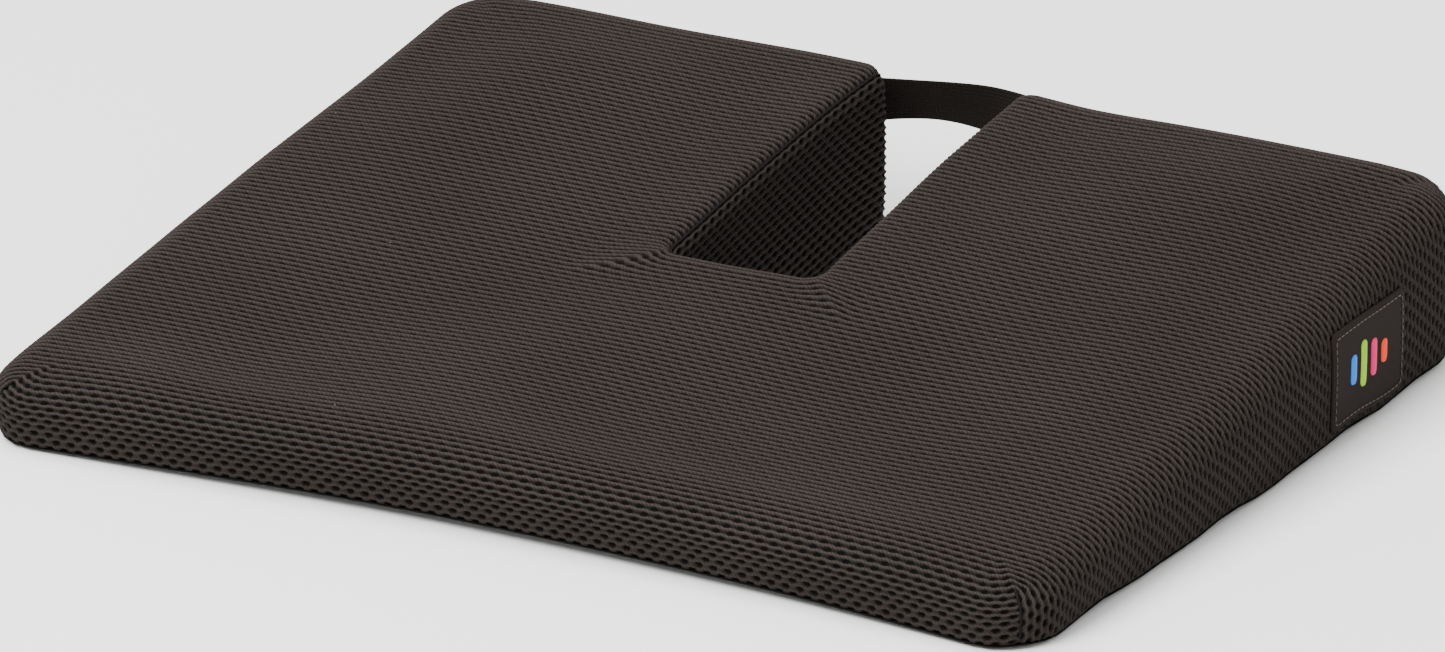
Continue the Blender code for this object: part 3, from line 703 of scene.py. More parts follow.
def cloth_lines(low_crease, high_crease, cell, before, after, even=False):
    """Grid lines of the cloth: whole cells between two creases, then equal cells past each, with their
    numbers and the count between the creases."""
    count = max(1, round((high_crease - low_crease) / cell))
    if even:
        count += count % 2
    inner = np.linspace(low_crease, high_crease, count + 1)
    low = low_crease - cell * np.arange(before, 0, -1)
    high = high_crease + cell * np.arange(1, after + 1)
    return np.concatenate([low, inner, high]), np.arange(-before, count + after + 1), count


def cloth_grid(form, cloth):
    """The flat cloth's grid, in step with its holes."""
    cell, row = cloth.hole_pitch / cloth.cells, cloth.hole_pitch / cloth.row_cells
    turn = form.corner_radius
    longest = turn + form.rear_height
    flap = math.ceil(longest / cell)
    us, numbers_u, count_u = cloth_lines(-(HALF_WIDTH - turn), HALF_WIDTH - turn, cell, flap, flap, even=True)
    vs, numbers_v, _ = cloth_lines(FRONT_Y + turn, REAR_Y - turn, row, math.ceil((turn + 0.04) / row),
                                   math.ceil(longest / row))
    u, v = np.meshgrid(us, vs)
    lattice = np.stack(np.meshgrid((numbers_u - count_u // 2) * cell, numbers_v * row), axis=-1)
    return u, v, lattice


def net_panel(name, form, cloth, grid, keep_cells, points, measures, long_seam="excess", short_seam="dart"):
    """One cloth panel of the wrapped net, with its holes and the valleys of its seams pressed in."""
    rows, columns = points.shape[:2]
    obj, used = add_mesh(name, settle(form, points.reshape(-1, 3)), grid_faces(rows, columns, keep_cells),
                         grid.reshape(-1, 2))
    seams = ((long_seam, LONG_SEAM), (short_seam, DART_SEAM), ("hang", BASE_SEAM))
    valley = sum(groove(measures[key]) * deep for key, deep in seams).reshape(-1)[used]
    opened = measures["open"] + np.zeros(points.shape[:2])
    no_knit = np.clip(valley * 900, 0, 1)         # the knit is gone where a valley is over 1.1 mm deep
    knit = knit_depth(cloth, grid, opened).reshape(-1)[used] * (1 - no_knit)
    press_in(obj, knit + valley)
    layer = obj.data.attributes.new("open", "FLOAT", "POINT")
    layer.data.foreach_set("value", np.ascontiguousarray(opened.reshape(-1)[used], np.float32))
    return obj


class CUSHION_OT_cover(Operator):
    """Makes the cover: the wrap-round top panel, the two rear bands and the gusset round the notch"""

    bl_idname = "cushion.cover"
    bl_label = "Cover"

    def execute(self, context):
        form, cloth = context.scene.cushion_form, context.scene.cushion_cloth
        material = spacer_mesh(cloth)
        u, v, lattice = cloth_grid(form, cloth)
        points, m = wrap(form, u, v)
        wanted = (m["excess"] < 0) & (m["dart"] > 0) & (m["hang"] > 0)
        top = net_panel("cover_top_panel", form, cloth, lattice, cells_touching(wanted), points, m)
        merge_points(top, 0.00008)
        dress(top, material, "cushion", ["cover_top"])
        points, m = wrap(form, u, v, band=True)
        wanted = (m["excess"] > 0) & (m["dart"] > 0) & (m["hang"] > 0) & m["rear"]
        for word, side in (("left", -1), ("right", 1)):
            chosen = cells_touching(wanted & (u * side > 0))
            band = net_panel("rear_band_cloth_" + word, form, cloth, lattice, chosen, points, m)
            dress(band, material, "cushion", ["rear_band_" + word])
        gusset, notch_seam = notch_panel(form, cloth)
        dress(gusset, material, "cushion", ["notch_gusset"])
        made = thread("bonded_polyester_thread", context.scene.cushion_trim.thread, 0.0030, roughness=0.8,
                      specular_ior_level=0.1)
        turn = form.corner_radius
        crease_x, dart, limit = HALF_WIDTH - turn, turn * math.pi / 4, form.edge_roll * math.pi / 2
        seam_v = REAR_Y - turn + (turn - form.edge_roll) + limit
        paths = {"seam_notch": notch_seam}
        for word, side in (("left", -1), ("right", 1)):
            along = np.linspace(NOTCH_HALF + form.mouth_radius, crease_x + dart, 160)
            line = wrap(form, side * along, np.full_like(along, seam_v))[0]
            paths["seam_rear_" + word] = settle(form, line - np.array([0, form.seam_depth, 0]))
            for place, crease_y, way, tall in (("front", FRONT_Y + turn, -1, form.front_height),
                                               ("rear", REAR_Y - turn, 1, form.rear_height)):
                foot = turn - form.edge_roll + limit + tall - form.edge_roll - DART_END
                down = np.linspace(dart, foot, 40)
                line = wrap(form, side * (crease_x + down), crease_y + way * down, place == "rear")[0]
                inward = np.array([-side, -way, 0]) * math.sqrt(0.5)
                paths[f"dart_{place}_{word}"] = settle(form, line + inward * form.seam_depth)
        for name, line in paths.items():
            dress(seam_cord(name, line), made, "cushion")
        return {"FINISHED"}


def notch_panel(form, cloth):
    """The gusset: cloth carried along the notch's plan line, over the rest of the roll and straight down."""
    mouth, inner = form.mouth_radius, form.notch_corner
    cell, row = cloth.hole_pitch / cloth.cells, cloth.hole_pitch / cloth.row_cells
    quarter = mouth * math.pi / 4
    depth = REAR_Y - mouth - (NOTCH_Y + inner)
    bend = inner * math.pi / 2
    runs = np.array([quarter, depth, bend, 2 * (NOTCH_HALF - inner), bend, depth, quarter])
    turned = np.array([-1, 0, 2, 0, 2, 0, -1]) * math.pi / 4
    knots = np.concatenate([[0], np.cumsum(runs)])
    headings = np.concatenate([[0], np.cumsum(turned)]) - math.pi / 2 + math.pi / 4
    total = knots[-1]
    finer = 8                                    # steps of the running sum in one cell
    count = round(total / cell) * finer
    fine = np.linspace(0, total, count + 1)
    heading = np.interp(fine, knots, headings)
    step = total / count
    middle = (heading[1:] + heading[:-1]) / 2
    x = np.concatenate([[0], np.cumsum(np.cos(middle) * step)])
    y = np.concatenate([[0], np.cumsum(np.sin(middle) * step)])
    diagonal = mouth * math.sqrt(0.5)
    x, y = x - (NOTCH_HALF + mouth - diagonal), y + REAR_Y - mouth + diagonal
    x, y, heading, s = (values[::finer] for values in (x, y, heading, fine))
    share = np.clip(1 - np.maximum(quarter - s, s - (total - quarter)) / quarter / 2, 0.0, 1.0)
    radius, seam = edge_section(form, share)
    t = np.arange(math.ceil(form.rear_height / row) + 1)[:, None] * row
    run = radius * seam + t
    plan, drop = roll(run, radius)
    off = radius - plan
    wall_x, wall_y = x + np.sin(heading) * off, y - np.cos(heading) * off
    free_z = top_height(form, wall_y) - drop
    points = np.stack([wall_x, wall_y, np.maximum(free_z, SEAM_Z)], axis=-1)
    lattice = np.stack(np.broadcast_arrays(s, t), axis=-1)
    measures = {"seam": t + 0 * s, "ends": np.minimum(s, total - s) + 0 * t, "hang": free_z - SEAM_Z,
                "open": 0.25 + 0.75 * np.exp(-t / 0.012) + 0 * s}
    keep = cells_touching(free_z > SEAM_Z)
    obj = net_panel("notch_gusset_cloth", form, cloth, lattice, keep, points, measures, "seam", "ends")
    flip_if_inward(obj)
    inward = np.stack([np.sin(heading), -np.cos(heading), -0.5 + 0 * heading], axis=-1)
    return obj, settle(form, points[0] + inward * form.seam_depth)


def flip_if_inward(obj):
    """The gusset faces the notch's open middle; turns its faces round if they were laid the other way."""
    mesh = obj.data
    centre = np.array([0.0, (NOTCH_Y + REAR_Y) / 2, 0.03])
    normals = np.empty(len(mesh.vertices) * 3, np.float32)
    mesh.vertices.foreach_get("normal", normals)
    to_centre = centre - read_points(obj)
    if np.sum(normals.reshape(-1, 3) * to_centre) < 0:
        mesh.flip_normals()


# ---------------------------------------------------------------- foam and base


def copy_node(name, node):
    """A copy of a CAD node's mesh with its loose triangles joined up, under a new name."""
    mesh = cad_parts[node].data.copy()
    mesh.name = name
    mesh.materials.clear()
    obj = bpy.data.objects.new(name, mesh)
    bpy.context.scene.collection.objects.link(obj)
    merge_points(obj)
    return obj


def map_flat(obj, first=0, second=1):
    """Lays the piece's own map flat over two of its axes, in metres."""
    loops = np.empty(len(obj.data.loops), np.int32)
    obj.data.loops.foreach_get("vertex_index", loops)
    flat = read_points(obj)[:, [first, second]][loops]
    layer = obj.data.uv_layers.get("cloth") or obj.data.uv_layers.new(name="cloth")
    layer.uv.foreach_set("vector", np.ascontiguousarray(flat, np.float32).ravel())


def apply_modifier(obj, kind, **settings):
    """Adds one modifier, sets it and bakes its result into the mesh."""
    modifier = obj.modifiers.new(kind.lower(), kind)
    for key, value in settings.items():
        setattr(modifier, key, value)
    shown = obj.evaluated_get(bpy.context.evaluated_depsgraph_get())
    baked = bpy.data.meshes.new_from_object(shown)
    obj.modifiers.clear()
    obj.data = baked


class CUSHION_OT_padding(Operator):
    """Simulates the foam pressing on the cover: a cloth skin under pressure, held along the seat"""

    bl_idname = "cushion.padding"
    bl_label = "Padding"

    def execute(self, context):
        padding[:] = 0.0
        form = context.scene.cushion_form
        skin = copy_node("padding_skin", "foam_wedge")
        top = copy_node("padding_top", "comfort_foam")
        bm = bmesh.new()
        bm.from_mesh(skin.data)
        bm.from_mesh(top.data)
        bm.to_mesh(skin.data)
        bm.free()
        bpy.data.objects.remove(top)
        apply_modifier(skin, "REMESH", mode="VOXEL", voxel_size=SKIN_CELL)
        start = settle(form, read_points(skin))
        write_points(skin, start)
        held = 1 - smooth_step((start[:, 2] - SKIN_HELD) / (SKIN_FREE - SKIN_HELD))
        skin.vertex_groups.new(name="held").add(np.nonzero(held > 0.5)[0].tolist(), 1.0, "REPLACE")
        cloth = skin.modifiers.new("cloth", "CLOTH")
        cloth.settings.quality = 5
        cloth.settings.use_pressure = True
        cloth.settings.uniform_pressure_force = SKIN_PRESSURE
        cloth.settings.effector_weights.gravity = 0.0
        cloth.settings.vertex_group_mass = "held"
        for frame_number in range(1, SKIN_FRAMES + 1):
            context.scene.frame_set(frame_number)
        shown = skin.evaluated_get(context.evaluated_depsgraph_get())
        end = np.empty(len(start) * 3, np.float32)
        shown.data.vertices.foreach_get("co", end)
        context.scene.frame_set(1)
        bpy.data.objects.remove(skin)
        move = end.reshape(-1, 3) - start
        size = np.linalg.norm(move, axis=1, keepdims=True)
        capped = form.puff * np.tanh(size / form.puff)
        # the middle push of the free cloth is taken off, so that the edges keep their place
        usual = np.quantile(capped[held < 0.01], 0.5)
        move = move / np.maximum(size, TINY) * (capped - usual) * (1 - held[:, None])
        spread = np.zeros((math.prod(PADDING_SHAPE), 4))
        index, share = grid_weights(start)
        weighted = np.append(move, np.ones((len(move), 1)), axis=1)
        np.add.at(spread, index.ravel(), (share[..., None] * weighted[:, None]).reshape(-1, 4))
        spread = spread.reshape(*PADDING_SHAPE, 4)
        for _ in range(EVEN_OUT):
            for axis in range(3):
                spread = (spread + np.roll(spread, 1, axis) + np.roll(spread, -1, axis)) / 3
        padding[:] = spread[..., :3] / np.maximum(spread[..., 3:], TINY)
        return {"FINISHED"}


class CUSHION_OT_foam(Operator):
    """Makes the firm foam wedge and the soft foam layer bonded on top of it"""

    bl_idname = "cushion.foam"
    bl_label = "Foam"

    def execute(self, context):
        form = context.scene.cushion_form
        for node, name, slot, made in (
                ("foam_wedge", "foam_wedge_block", "firm_foam",
                 foam("polyurethane_foam", "#b9bec4", 0.0012)),
                ("comfort_foam", "comfort_foam_layer", "soft_foam",
                 foam("slow_recovery_foam", "#e3dcc6", 0.0007))):
            block = copy_node(name, node)
            apply_modifier(block, "REMESH", mode="VOXEL", voxel_size=0.004, use_smooth_shade=True)
            apply_modifier(block, "SMOOTH", factor=0.5, iterations=3)
            write_points(block, settle(form, read_points(block)))
            dress(block, made, "cushion", [node])
        return {"FINISHED"}


def cut_across(obj, places, axis):
    """Cuts the mesh with planes square to one axis, so that long flat faces can bend."""
    bm = bmesh.new()
    bm.from_mesh(obj.data)
    for place in places:
        point, normal = [0, 0, 0], [0, 0, 0]
        point[axis], normal[axis] = place, 1
        everything = bm.verts[:] + bm.edges[:] + bm.faces[:]
        bmesh.ops.bisect_plane(bm, geom=everything, plane_co=point, plane_no=normal)
    bm.to_mesh(obj.data)
    bm.free()


def plan_inside(form, x, y, margin):
    """True where a point of the underside lies on cloth, this far from every edge and from the zip's hems."""
    half = HALF_WIDTH - margin
    crease = HALF_WIDTH - form.corner_radius
    centre_y = np.clip(y, FRONT_Y + form.corner_radius, REAR_Y - form.corner_radius)
    corner = np.hypot(np.maximum(np.abs(x) - crease, 0), y - centre_y) < form.corner_radius - margin
    inside = (np.abs(x) < half) & (y > FRONT_Y + margin) & (y < REAR_Y - margin) & corner
    notch = (np.abs(x) < NOTCH_HALF + margin) & (y > NOTCH_Y - margin)
    mouth = (np.abs(x) < NOTCH_HALF + margin + form.mouth_radius) & (y > REAR_Y - form.mouth_radius)
    zip_strip = np.abs(y - ZIP_Y) < 0.015 + margin / 2
    return inside & ~notch & ~mouth & ~zip_strip


def grip_dots(form, pitch=0.009, radius=0.0015, height=0.0005):
    """Low rubber domes in staggered rows on the underside: two rings and a crown for each."""
    rows = np.arange(FRONT_Y, REAR_Y, pitch * math.sqrt(0.75))
    columns = np.arange(-HALF_WIDTH, HALF_WIDTH, pitch)
    x, y = np.meshgrid(columns, rows)
    x = x + (np.arange(len(rows)) % 2)[:, None] * pitch / 2
    wanted = plan_inside(form, x, y, 0.007)
    x, y = x[wanted], y[wanted]
    sides = 8
    turn = np.arange(sides + 1) * math.tau / sides
    rings = [(radius, height), (radius * 0.95, height * 0.4), (radius * 0.6, 0.0), (0.0, 0.0)]
    shape = np.array([[(size * math.cos(a), -size * math.sin(a), z) for a in turn] for size, z in rings])
    flat = shape.reshape(-1, 3)
    points = flat[None] + np.stack([x, y, np.zeros_like(x)], axis=-1)[:, None]
    faces = grid_faces(len(rings), sides + 1)[None] + np.arange(len(x))[:, None, None] * len(flat)
    dots, _ = add_mesh("grip_dots", settle(form, points.reshape(-1, 3)), faces.reshape(-1, 4))
    merge_points(dots, 0.00002)
    return dots


class CUSHION_OT_base(Operator):
    """Makes the two base panels with their hems, and the rubber dots that keep the cushion from slipping"""

    bl_idname = "cushion.base"
    bl_label = "Base panels"

    def execute(self, context):
        form, cloth = context.scene.cushion_form, context.scene.cushion_cloth
        canvas = woven("polyester_canvas", cloth.base, 0.0012, 0.0012, 0.00015, roughness=0.85,
                       specular_ior_level=0.08)
        for word in ("front", "rear"):
            panel = copy_node("base_cloth_" + word, "base_panel_" + word)
            cut_across(panel, np.linspace(-HALF_WIDTH, HALF_WIDTH, 31)[1:-1], 0)
            cut_across(panel, np.linspace(FRONT_Y, REAR_Y, 25)[1:-1], 1)
            map_flat(panel)
            points = read_points(panel)
            points[:, 2] = np.maximum(points[:, 2], 0.0004)
            write_points(panel, settle(form, points))
            dress(panel, canvas, "cushion", ["base_panel_" + word])
        dress(grip_dots(form), rubber_print(cloth.rubber), "cushion")
        return {"FINISHED"}


# ---------------------------------------------------------------- zip


class CUSHION_OT_zip(Operator):
    """Makes the wound coils of the zip, and finishes its tapes, stops, slider and pull"""

    bl_idname = "cushion.zip"
    bl_label = "Zip"

    def execute(self, context):
        trim = context.scene.cushion_trim
        nylon, zinc = nylon_monofilament(), lacquered_zinc()
        tape = woven("polyester_zip_tape", trim.tape, 0.0009, 0.0018, 0.0001, own_map=False, roughness=0.8)
        pitch, filament, steps = 0.0013, 0.00026, 12
        for word in ("front", "rear"):
            low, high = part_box("zip_coil_" + word)
            middle, radius = (low + high) / 2, (high.z - low.z) / 2 - filament
            turns = round((high.x - low.x - 2 * filament) / pitch)
            t = np.linspace(0, turns * math.tau, turns * steps + 1)
            x = low.x + filament + (high.x - low.x - 2 * filament) * t / t[-1]
            out = np.stack([np.zeros_like(t), np.cos(t), np.sin(t)], axis=1)
            core = np.stack([x, np.full_like(t, middle.y), np.full_like(t, middle.z)], axis=1)
            centre = core + out * radius
            coil = tube("zip_filament_" + word, centre, out, filament, 5)
            dress(coil, nylon, "cushion", ["zip_coil_" + word])
            dress(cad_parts["zip_tape_" + word], tape, None)
        for node in ("zip_stop_left", "zip_stop_right", "zip_slider", "zip_pull"):
            dress(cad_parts[node], zinc, None)
        return {"FINISHED"}


# ---------------------------------------------------------------- strap


def strap_line(x):
    """Plan line of the webbing: flat on the cover past its anchors, a parabola between them."""
    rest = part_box("strap_tail_left")[0].y + WEBBING_THICK / 2
    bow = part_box("strap_loop")[1].y - WEBBING_THICK / 2 - rest
    return rest + bow * np.maximum(0.0, 1 - (x / STRAP_ANCHOR) ** 2)


def webbing_half(name, form, side):
    """Half of the strap: a flat oval section with lengthwise ribs, carried along the plan line.

    The section leans one way in the left half and the other in the right, as a sine of the way along.
    """
    low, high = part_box("strap_loop")
    width, ribs = high.z - low.z, 13
    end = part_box("strap_tail_right")[1].x
    x = side * np.linspace(0, end, 150)
    raised = (0.0002 + 0.0022 * smooth_step((0.03 - x) / 0.06)) * smooth_step((0.075 - np.abs(x)) / 0.03)
    raised = raised + 0.0010 * np.maximum(1 - (x / 0.05) ** 2, 0)
    centre = np.stack([x, strap_line(x), (low.z + high.z) / 2 + raised], axis=1)
    lean = math.radians(20) * np.sin(np.clip(x / STRAP_ANCHOR, -1, 1) * math.pi)
    slope = np.gradient(centre[:, 1], x)
    facing = np.stack([-slope, np.ones_like(x), np.zeros_like(x)], axis=1)
    facing /= np.linalg.norm(facing, axis=1, keepdims=True)
    up = np.array([0, 0, 1.0])
    tall = np.cos(lean)[:, None] * up + np.sin(lean)[:, None] * facing
    deep = np.cos(lean)[:, None] * facing - np.sin(lean)[:, None] * up
    count = ribs * 6
    turn = np.linspace(0, math.tau, 2 * count + 1)
    b = width / 2 * np.sign(np.cos(turn)) * np.abs(np.cos(turn)) ** 0.9
    rib = 1 + 0.14 * np.cos(b / width * ribs * math.tau)
    a = WEBBING_THICK / 2 * np.sign(np.sin(turn)) * np.abs(np.sin(turn)) ** 0.35 * rib * 0.88
    picks = 1 + 0.05 * np.cos(x / 0.0016 * math.tau)[:, None]
    points = centre[:, None] + b[None, :, None] * tall[:, None] + (a[None] * picks)[..., None] * deep[:, None]
    cap = centre[-1:, None].repeat(len(turn), 1)
    points = np.concatenate([points, cap])
    faces = grid_faces(len(points), len(turn))
    cloth = np.stack(np.broadcast_arrays(x[:, None], b[None]), axis=-1)
    cloth = np.concatenate([cloth, cloth[-1:]])
    obj, _ = add_mesh(name, settle(form, points.reshape(-1, 3)), faces if side < 0 else faces[:, ::-1],
                      cloth.reshape(-1, 2))
    merge_points(obj)
    return obj


def satin(name, form, middle, across, along, normal, size, pitch, round_ends=True):
    """A raised bar of side-by-side threads: a flat-backed oval section, rippled at the thread pitch, that
    narrows in a half circle at each end when the ends are round."""
    width, tall, proud = size
    steps = max(8, int(tall / pitch) * 4)
    t = np.linspace(-1, 1, steps + 1)
    reach = np.abs(t) * tall / 2 - (tall / 2 - width / 2)
    narrow = np.ones_like(t)
    if round_ends:
        narrow = np.sqrt(np.clip(1 - np.clip(reach / (width / 2), 0, 1) ** 2, 0, 1))
    narrow[[0, -1]] = 0.0
    ripple = 1 - 0.16 * np.abs(np.sin(t * tall / 2 / pitch * math.pi))
    turn = np.linspace(0, math.tau, 25)
    a = width / 2 * np.cos(turn)
    c = proud * np.maximum(np.sin(turn), -0.05)
    shade = ripple * np.minimum(1, narrow * 1.6)
    points = (np.array(middle) + (narrow[:, None] * a[None])[..., None] * np.array(across)
              + (t * tall / 2)[:, None, None] * np.array(along)
              + (shade[:, None] * c[None])[..., None] * np.array(normal))
    cloth = np.stack(np.broadcast_arrays(a[None], (t * tall / 2)[:, None]), axis=-1)
    obj, _ = add_mesh(name, settle(form, points.reshape(-1, 3)), grid_faces(len(t), len(turn)),
                      cloth.reshape(-1, 2))
    merge_points(obj)
    bm = bmesh.new()
    bm.from_mesh(obj.data)
    bmesh.ops.recalc_face_normals(bm, faces=bm.faces)
    bm.to_mesh(obj.data)
    bm.free()
    return obj


class CUSHION_OT_strap(Operator):
    """Makes the webbing carry strap and the bar tacks that hold it"""

    bl_idname = "cushion.strap"
    bl_label = "Carry strap"

    def execute(self, context):
        form, trim = context.scene.cushion_form, context.scene.cushion_trim
        webbing = woven("polypropylene_webbing", trim.webbing, 0.0016, 0.0016, 0.00025, roughness=0.8,
                        specular_ior_level=0.1)
        for word, side in (("left", -1), ("right", 1)):
            half = webbing_half("webbing_" + word, form, side)
            half.data.materials.append(webbing)
            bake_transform(half)
            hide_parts("strap_tail_" + word, "strap_loop")
            tack_thread = thread("bonded_nylon_thread_" + word, trim.thread, 0.0007, roughness=0.7,
                                 specular_ior_level=0.15)
            for place in ("inner", "outer"):
                node = f"bar_tack_{word}_{place}"
                low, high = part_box(node)
                middle = ((low.x + high.x) / 2, low.y - STITCH_SINK, (low.z + high.z) / 2)
                size = (high.x - low.x, high.z - low.z, high.y - low.y + STITCH_SINK)
                tack = satin(node + "_thread", form, middle, (1, 0, 0), (0, 0, 1), (0, 1, 0), size, 0.0007,
                             round_ends=False)
                dress(tack, tack_thread, "cushion", [node])
        return {"FINISHED"}


# ---------------------------------------------------------------- label


def round_rectangle(size, corner, share):
    """Places and headings round a rectangle with rounded corners, at these shares of its length.

    The heading turns evenly on each corner's arc and is constant between; the place is its running sum.
    Also returns the whole length.
    """
    width, tall = size
    bend, steps = corner * math.pi / 2, 4000
    runs = np.array([width / 2 - corner, bend, tall - 2 * corner, bend, width - 2 * corner, bend,
                     tall - 2 * corner, bend, width / 2 - corner])
    knots = np.concatenate([[0], np.cumsum(runs)])
    headings = np.array([0, 0, 1, 1, 2, 2, 3, 3, 4, 4]) * math.pi / 2
    fine = np.linspace(0, knots[-1], steps + 1)
    heading = np.interp(fine, knots, headings)
    middle = (heading[1:] + heading[:-1]) / 2
    step = knots[-1] / steps
    a = np.concatenate([[0], np.cumsum(np.cos(middle) * step)])
    b = np.concatenate([[0], np.cumsum(np.sin(middle) * step)]) - tall / 2
    at = share * knots[-1]
    turn = np.interp(at, fine, heading)
    return np.interp(at, fine, a), np.interp(at, fine, b), turn, knots[-1]


class CUSHION_OT_label(Operator):
    """Makes the woven label on the right side, its edge stitching and its four plain satin bars"""

    bl_idname = "cushion.label"
    bl_label = "Label"

    def execute(self, context):
        form, trim = context.scene.cushion_form, context.scene.cushion_trim
        low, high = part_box("label_patch")
        middle = (low + high) / 2
        size, corner, thick = (high.y - low.y, high.z - low.z), 0.004, high.x - low.x
        share = np.linspace(0, 1, 161)
        a, b, _, _ = round_rectangle(size, corner, share)
        # from the middle of the face, round its soft edge, to a flat back inside the cover
        profile = [(0, 1.0), (0.25, 1.0), (0.5, 1.0), (0.75, 0.98), (0.93, 0.95), (0.975, 0.85),
                   (0.992, 0.55), (1.0, 0.2), (0.995, -0.6), (0.9, -0.8), (0.0, -0.8)]
        scale, rise = np.array(profile).T
        points = np.stack([np.broadcast_to(low.x + thick * rise[:, None], (len(rise), len(a))),
                           middle.y + scale[:, None] * a[None], middle.z + scale[:, None] * b[None]], axis=-1)
        cloth = np.stack([scale[:, None] * a[None], scale[:, None] * b[None]], axis=-1)
        patch, _ = add_mesh("label_cloth", settle(form, points.reshape(-1, 3)),
                            grid_faces(len(rise), len(a))[:, ::-1], cloth.reshape(-1, 2))
        merge_points(patch)
        twill = woven("damask_label_twill", trim.label, 0.0008, 0.0006, 0.00008, roughness=0.8,
                      specular_ior_level=0.08)
        dress(patch, twill, "cushion", ["label_patch"])
        face = high.x - thick * 0.05
        inset = (size[0] - 0.005, size[1] - 0.005)
        stitching = self.stitches(form, (face, middle.y, middle.z), inset, 0.0027)
        edging = thread("label_edge_thread", trim.edging, 0.0006, roughness=0.5)
        dress(stitching, edging, "cushion", ["label_stitching"])
        for word in ("blue", "green", "pink", "orange"):
            node = "motif_bar_" + word
            low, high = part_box(node)
            middle = (face - 0.0001, (low.y + high.y) / 2, (low.z + high.z) / 2)
            bar = satin(node + "_thread", form, middle, (0, 1, 0), (0, 0, 1), (1, 0, 0),
                        (high.y - low.y, high.z - low.z, 0.0008), 0.0005)
            shine = thread("rayon_thread_" + word, getattr(trim, word), 0.0005, roughness=0.45,
                           specular_ior_level=0.3)
            dress(bar, shine, "cushion", [node])
        return {"FINISHED"}

    @staticmethod
    def stitches(form, middle, size, corner, length=0.0024, gap=0.0007, radius=0.00026):
        """Running stitch along a rounded rectangle: a short thread with sunken round ends for each stitch."""
        _, _, _, total = round_rectangle(size, corner, np.zeros(1))
        count = int(total / (length + gap))
        along, sides = np.linspace(-1, 1, 9), 6
        share = (np.arange(count)[:, None] + 0.5 + along[None] * 0.5 * length / (length + gap)) / count
        a, b, turn, _ = round_rectangle(size, corner, share)
        out = np.stack([np.zeros_like(turn), np.sin(turn), -np.cos(turn)], axis=-1)
        lift = np.broadcast_to(radius * (0.9 - 1.3 * np.abs(along) ** 3), a.shape)
        centre = np.stack([middle[0] + lift, middle[1] + a, middle[2] + b], axis=-1)
        fat = np.sqrt(np.clip(1 - along ** 8, 0, 1)) * radius
        angle = np.arange(sides + 1) * math.tau / sides
        points = (centre[:, :, None] + (fat[:, None] * np.cos(angle))[None, ..., None] * np.array([1.0, 0, 0])
                  + (fat[:, None] * np.sin(angle))[None, ..., None] * out[:, :, None])
        one = len(along) * (sides + 1)
        faces = grid_faces(len(along), sides + 1)[None] + np.arange(count)[:, None, None] * one
        cloth = np.stack(np.broadcast_arrays(share[..., None] * total, angle[None, None] * radius), axis=-1)
        obj, _ = add_mesh("label_edge_stitches", settle(form, points.reshape(-1, 3)), faces.reshape(-1, 4),
                          cloth.reshape(-1, 2))
        merge_points(obj, 0.000002)
        return obj


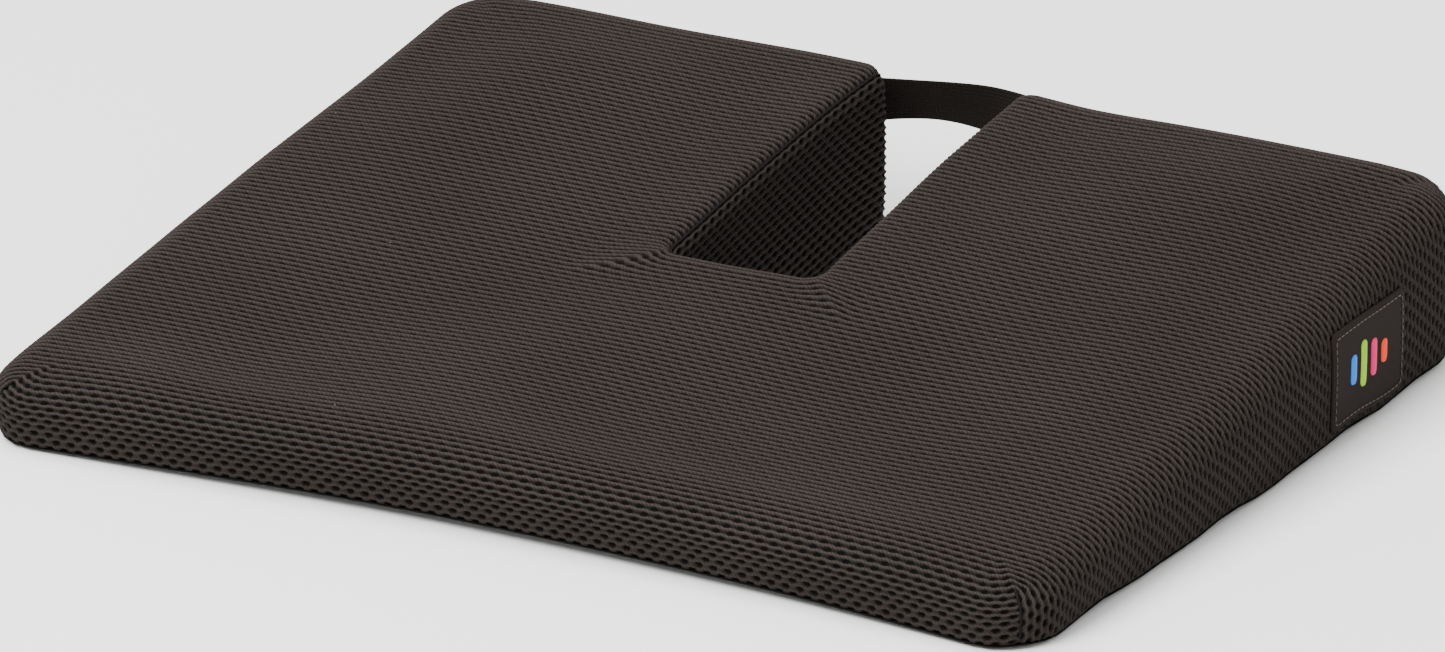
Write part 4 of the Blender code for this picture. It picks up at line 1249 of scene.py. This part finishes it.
class CUSHION_OT_stage(Operator):
    """Makes the floor, the soft lights and the camera"""

    bl_idname = "cushion.stage"
    bl_label = "Stage"

    def execute(self, context):
        stage = context.scene.cushion_stage
        bpy.ops.mesh.primitive_plane_add(size=12, location=(0, 0, 0))
        floor = context.object
        floor.name = "floor"
        made, _, _ = new_material("painted_board", base_color=linear(stage.floor), roughness=0.9)
        floor.data.materials.append(made)
        world = bpy.data.worlds.new("studio")
        world.use_nodes = True
        world.node_tree.nodes["Background"].inputs["Color"].default_value = linear("#ffffff")
        world.node_tree.nodes["Background"].inputs["Strength"].default_value = stage.surround
        context.scene.world = world
        for name, place, size, power in (("key", (-0.25, -1.6, 1.7), 1.2, stage.key),
                                         ("overhead", (-0.5, 0.1, 2.4), 1.8, stage.overhead)):
            light = bpy.data.lights.new(name, "AREA")
            light.size, light.energy = size, power
            lamp = bpy.data.objects.new(name, light)
            lamp.location = place
            lamp.rotation_euler = (-Vector(place)).to_track_quat("-Z", "Y").to_euler()
            context.scene.collection.objects.link(lamp)
        azimuth, elevation = math.radians(stage.azimuth), math.radians(stage.elevation)
        turn = math.radians(stage.roll)
        back = Vector((math.sin(azimuth) * math.cos(elevation), -math.cos(azimuth) * math.cos(elevation),
                       math.sin(elevation)))
        level = Vector((math.cos(azimuth), math.sin(azimuth), 0))
        rise = back.cross(level)
        right = math.cos(turn) * level + math.sin(turn) * rise
        up = back.cross(right)
        left_of_middle, above_seat = 0.004, 0.026
        aim = Vector((0, (FRONT_Y + REAR_Y) / 2, 0)) - left_of_middle * right + above_seat * up
        camera = bpy.data.objects.new("camera", bpy.data.cameras.new("camera"))
        camera.data.sensor_width, camera.data.lens = 36, stage.lens
        camera.data.clip_end = 50
        camera.matrix_world = Matrix.Translation(aim + stage.distance * back) @ Matrix(
            (right, up, back)).transposed().to_4x4()
        context.scene.collection.objects.link(camera)
        context.scene.camera = camera
        return {"FINISHED"}


class CUSHION_PT_panel(Panel):
    """Lists the operators that make the cushion"""

    bl_label = "Seat cushion"
    bl_idname = "CUSHION_PT_panel"
    bl_space_type = "VIEW_3D"
    bl_region_type = "UI"
    bl_category = "Cushion"

    def draw(self, context):
        for operator in OPERATORS:
            self.layout.operator(operator.bl_idname)


SETTINGS = {"cushion_form": CushionForm, "cushion_cloth": CushionCloth, "cushion_trim": CushionTrim,
            "cushion_stage": CushionStage}
OPERATORS = (CUSHION_OT_padding, CUSHION_OT_cover, CUSHION_OT_foam, CUSHION_OT_base, CUSHION_OT_zip,
             CUSHION_OT_strap, CUSHION_OT_label, CUSHION_OT_stage)


def register():
    for cls in (*SETTINGS.values(), *OPERATORS, CUSHION_PT_panel):
        bpy.utils.register_class(cls)
    for name, cls in SETTINGS.items():
        setattr(bpy.types.Scene, name, PointerProperty(type=cls))


def unregister():
    for name in SETTINGS:
        delattr(bpy.types.Scene, name)
    for cls in reversed((*SETTINGS.values(), *OPERATORS, CUSHION_PT_panel)):
        bpy.utils.unregister_class(cls)


def main():
    register()
    make = bpy.ops.cushion
    for operator in (make.padding, make.cover, make.foam, make.base, make.zip, make.strap, make.label,
                     make.stage):
        operator()


if __name__ == "__main__":
    main()
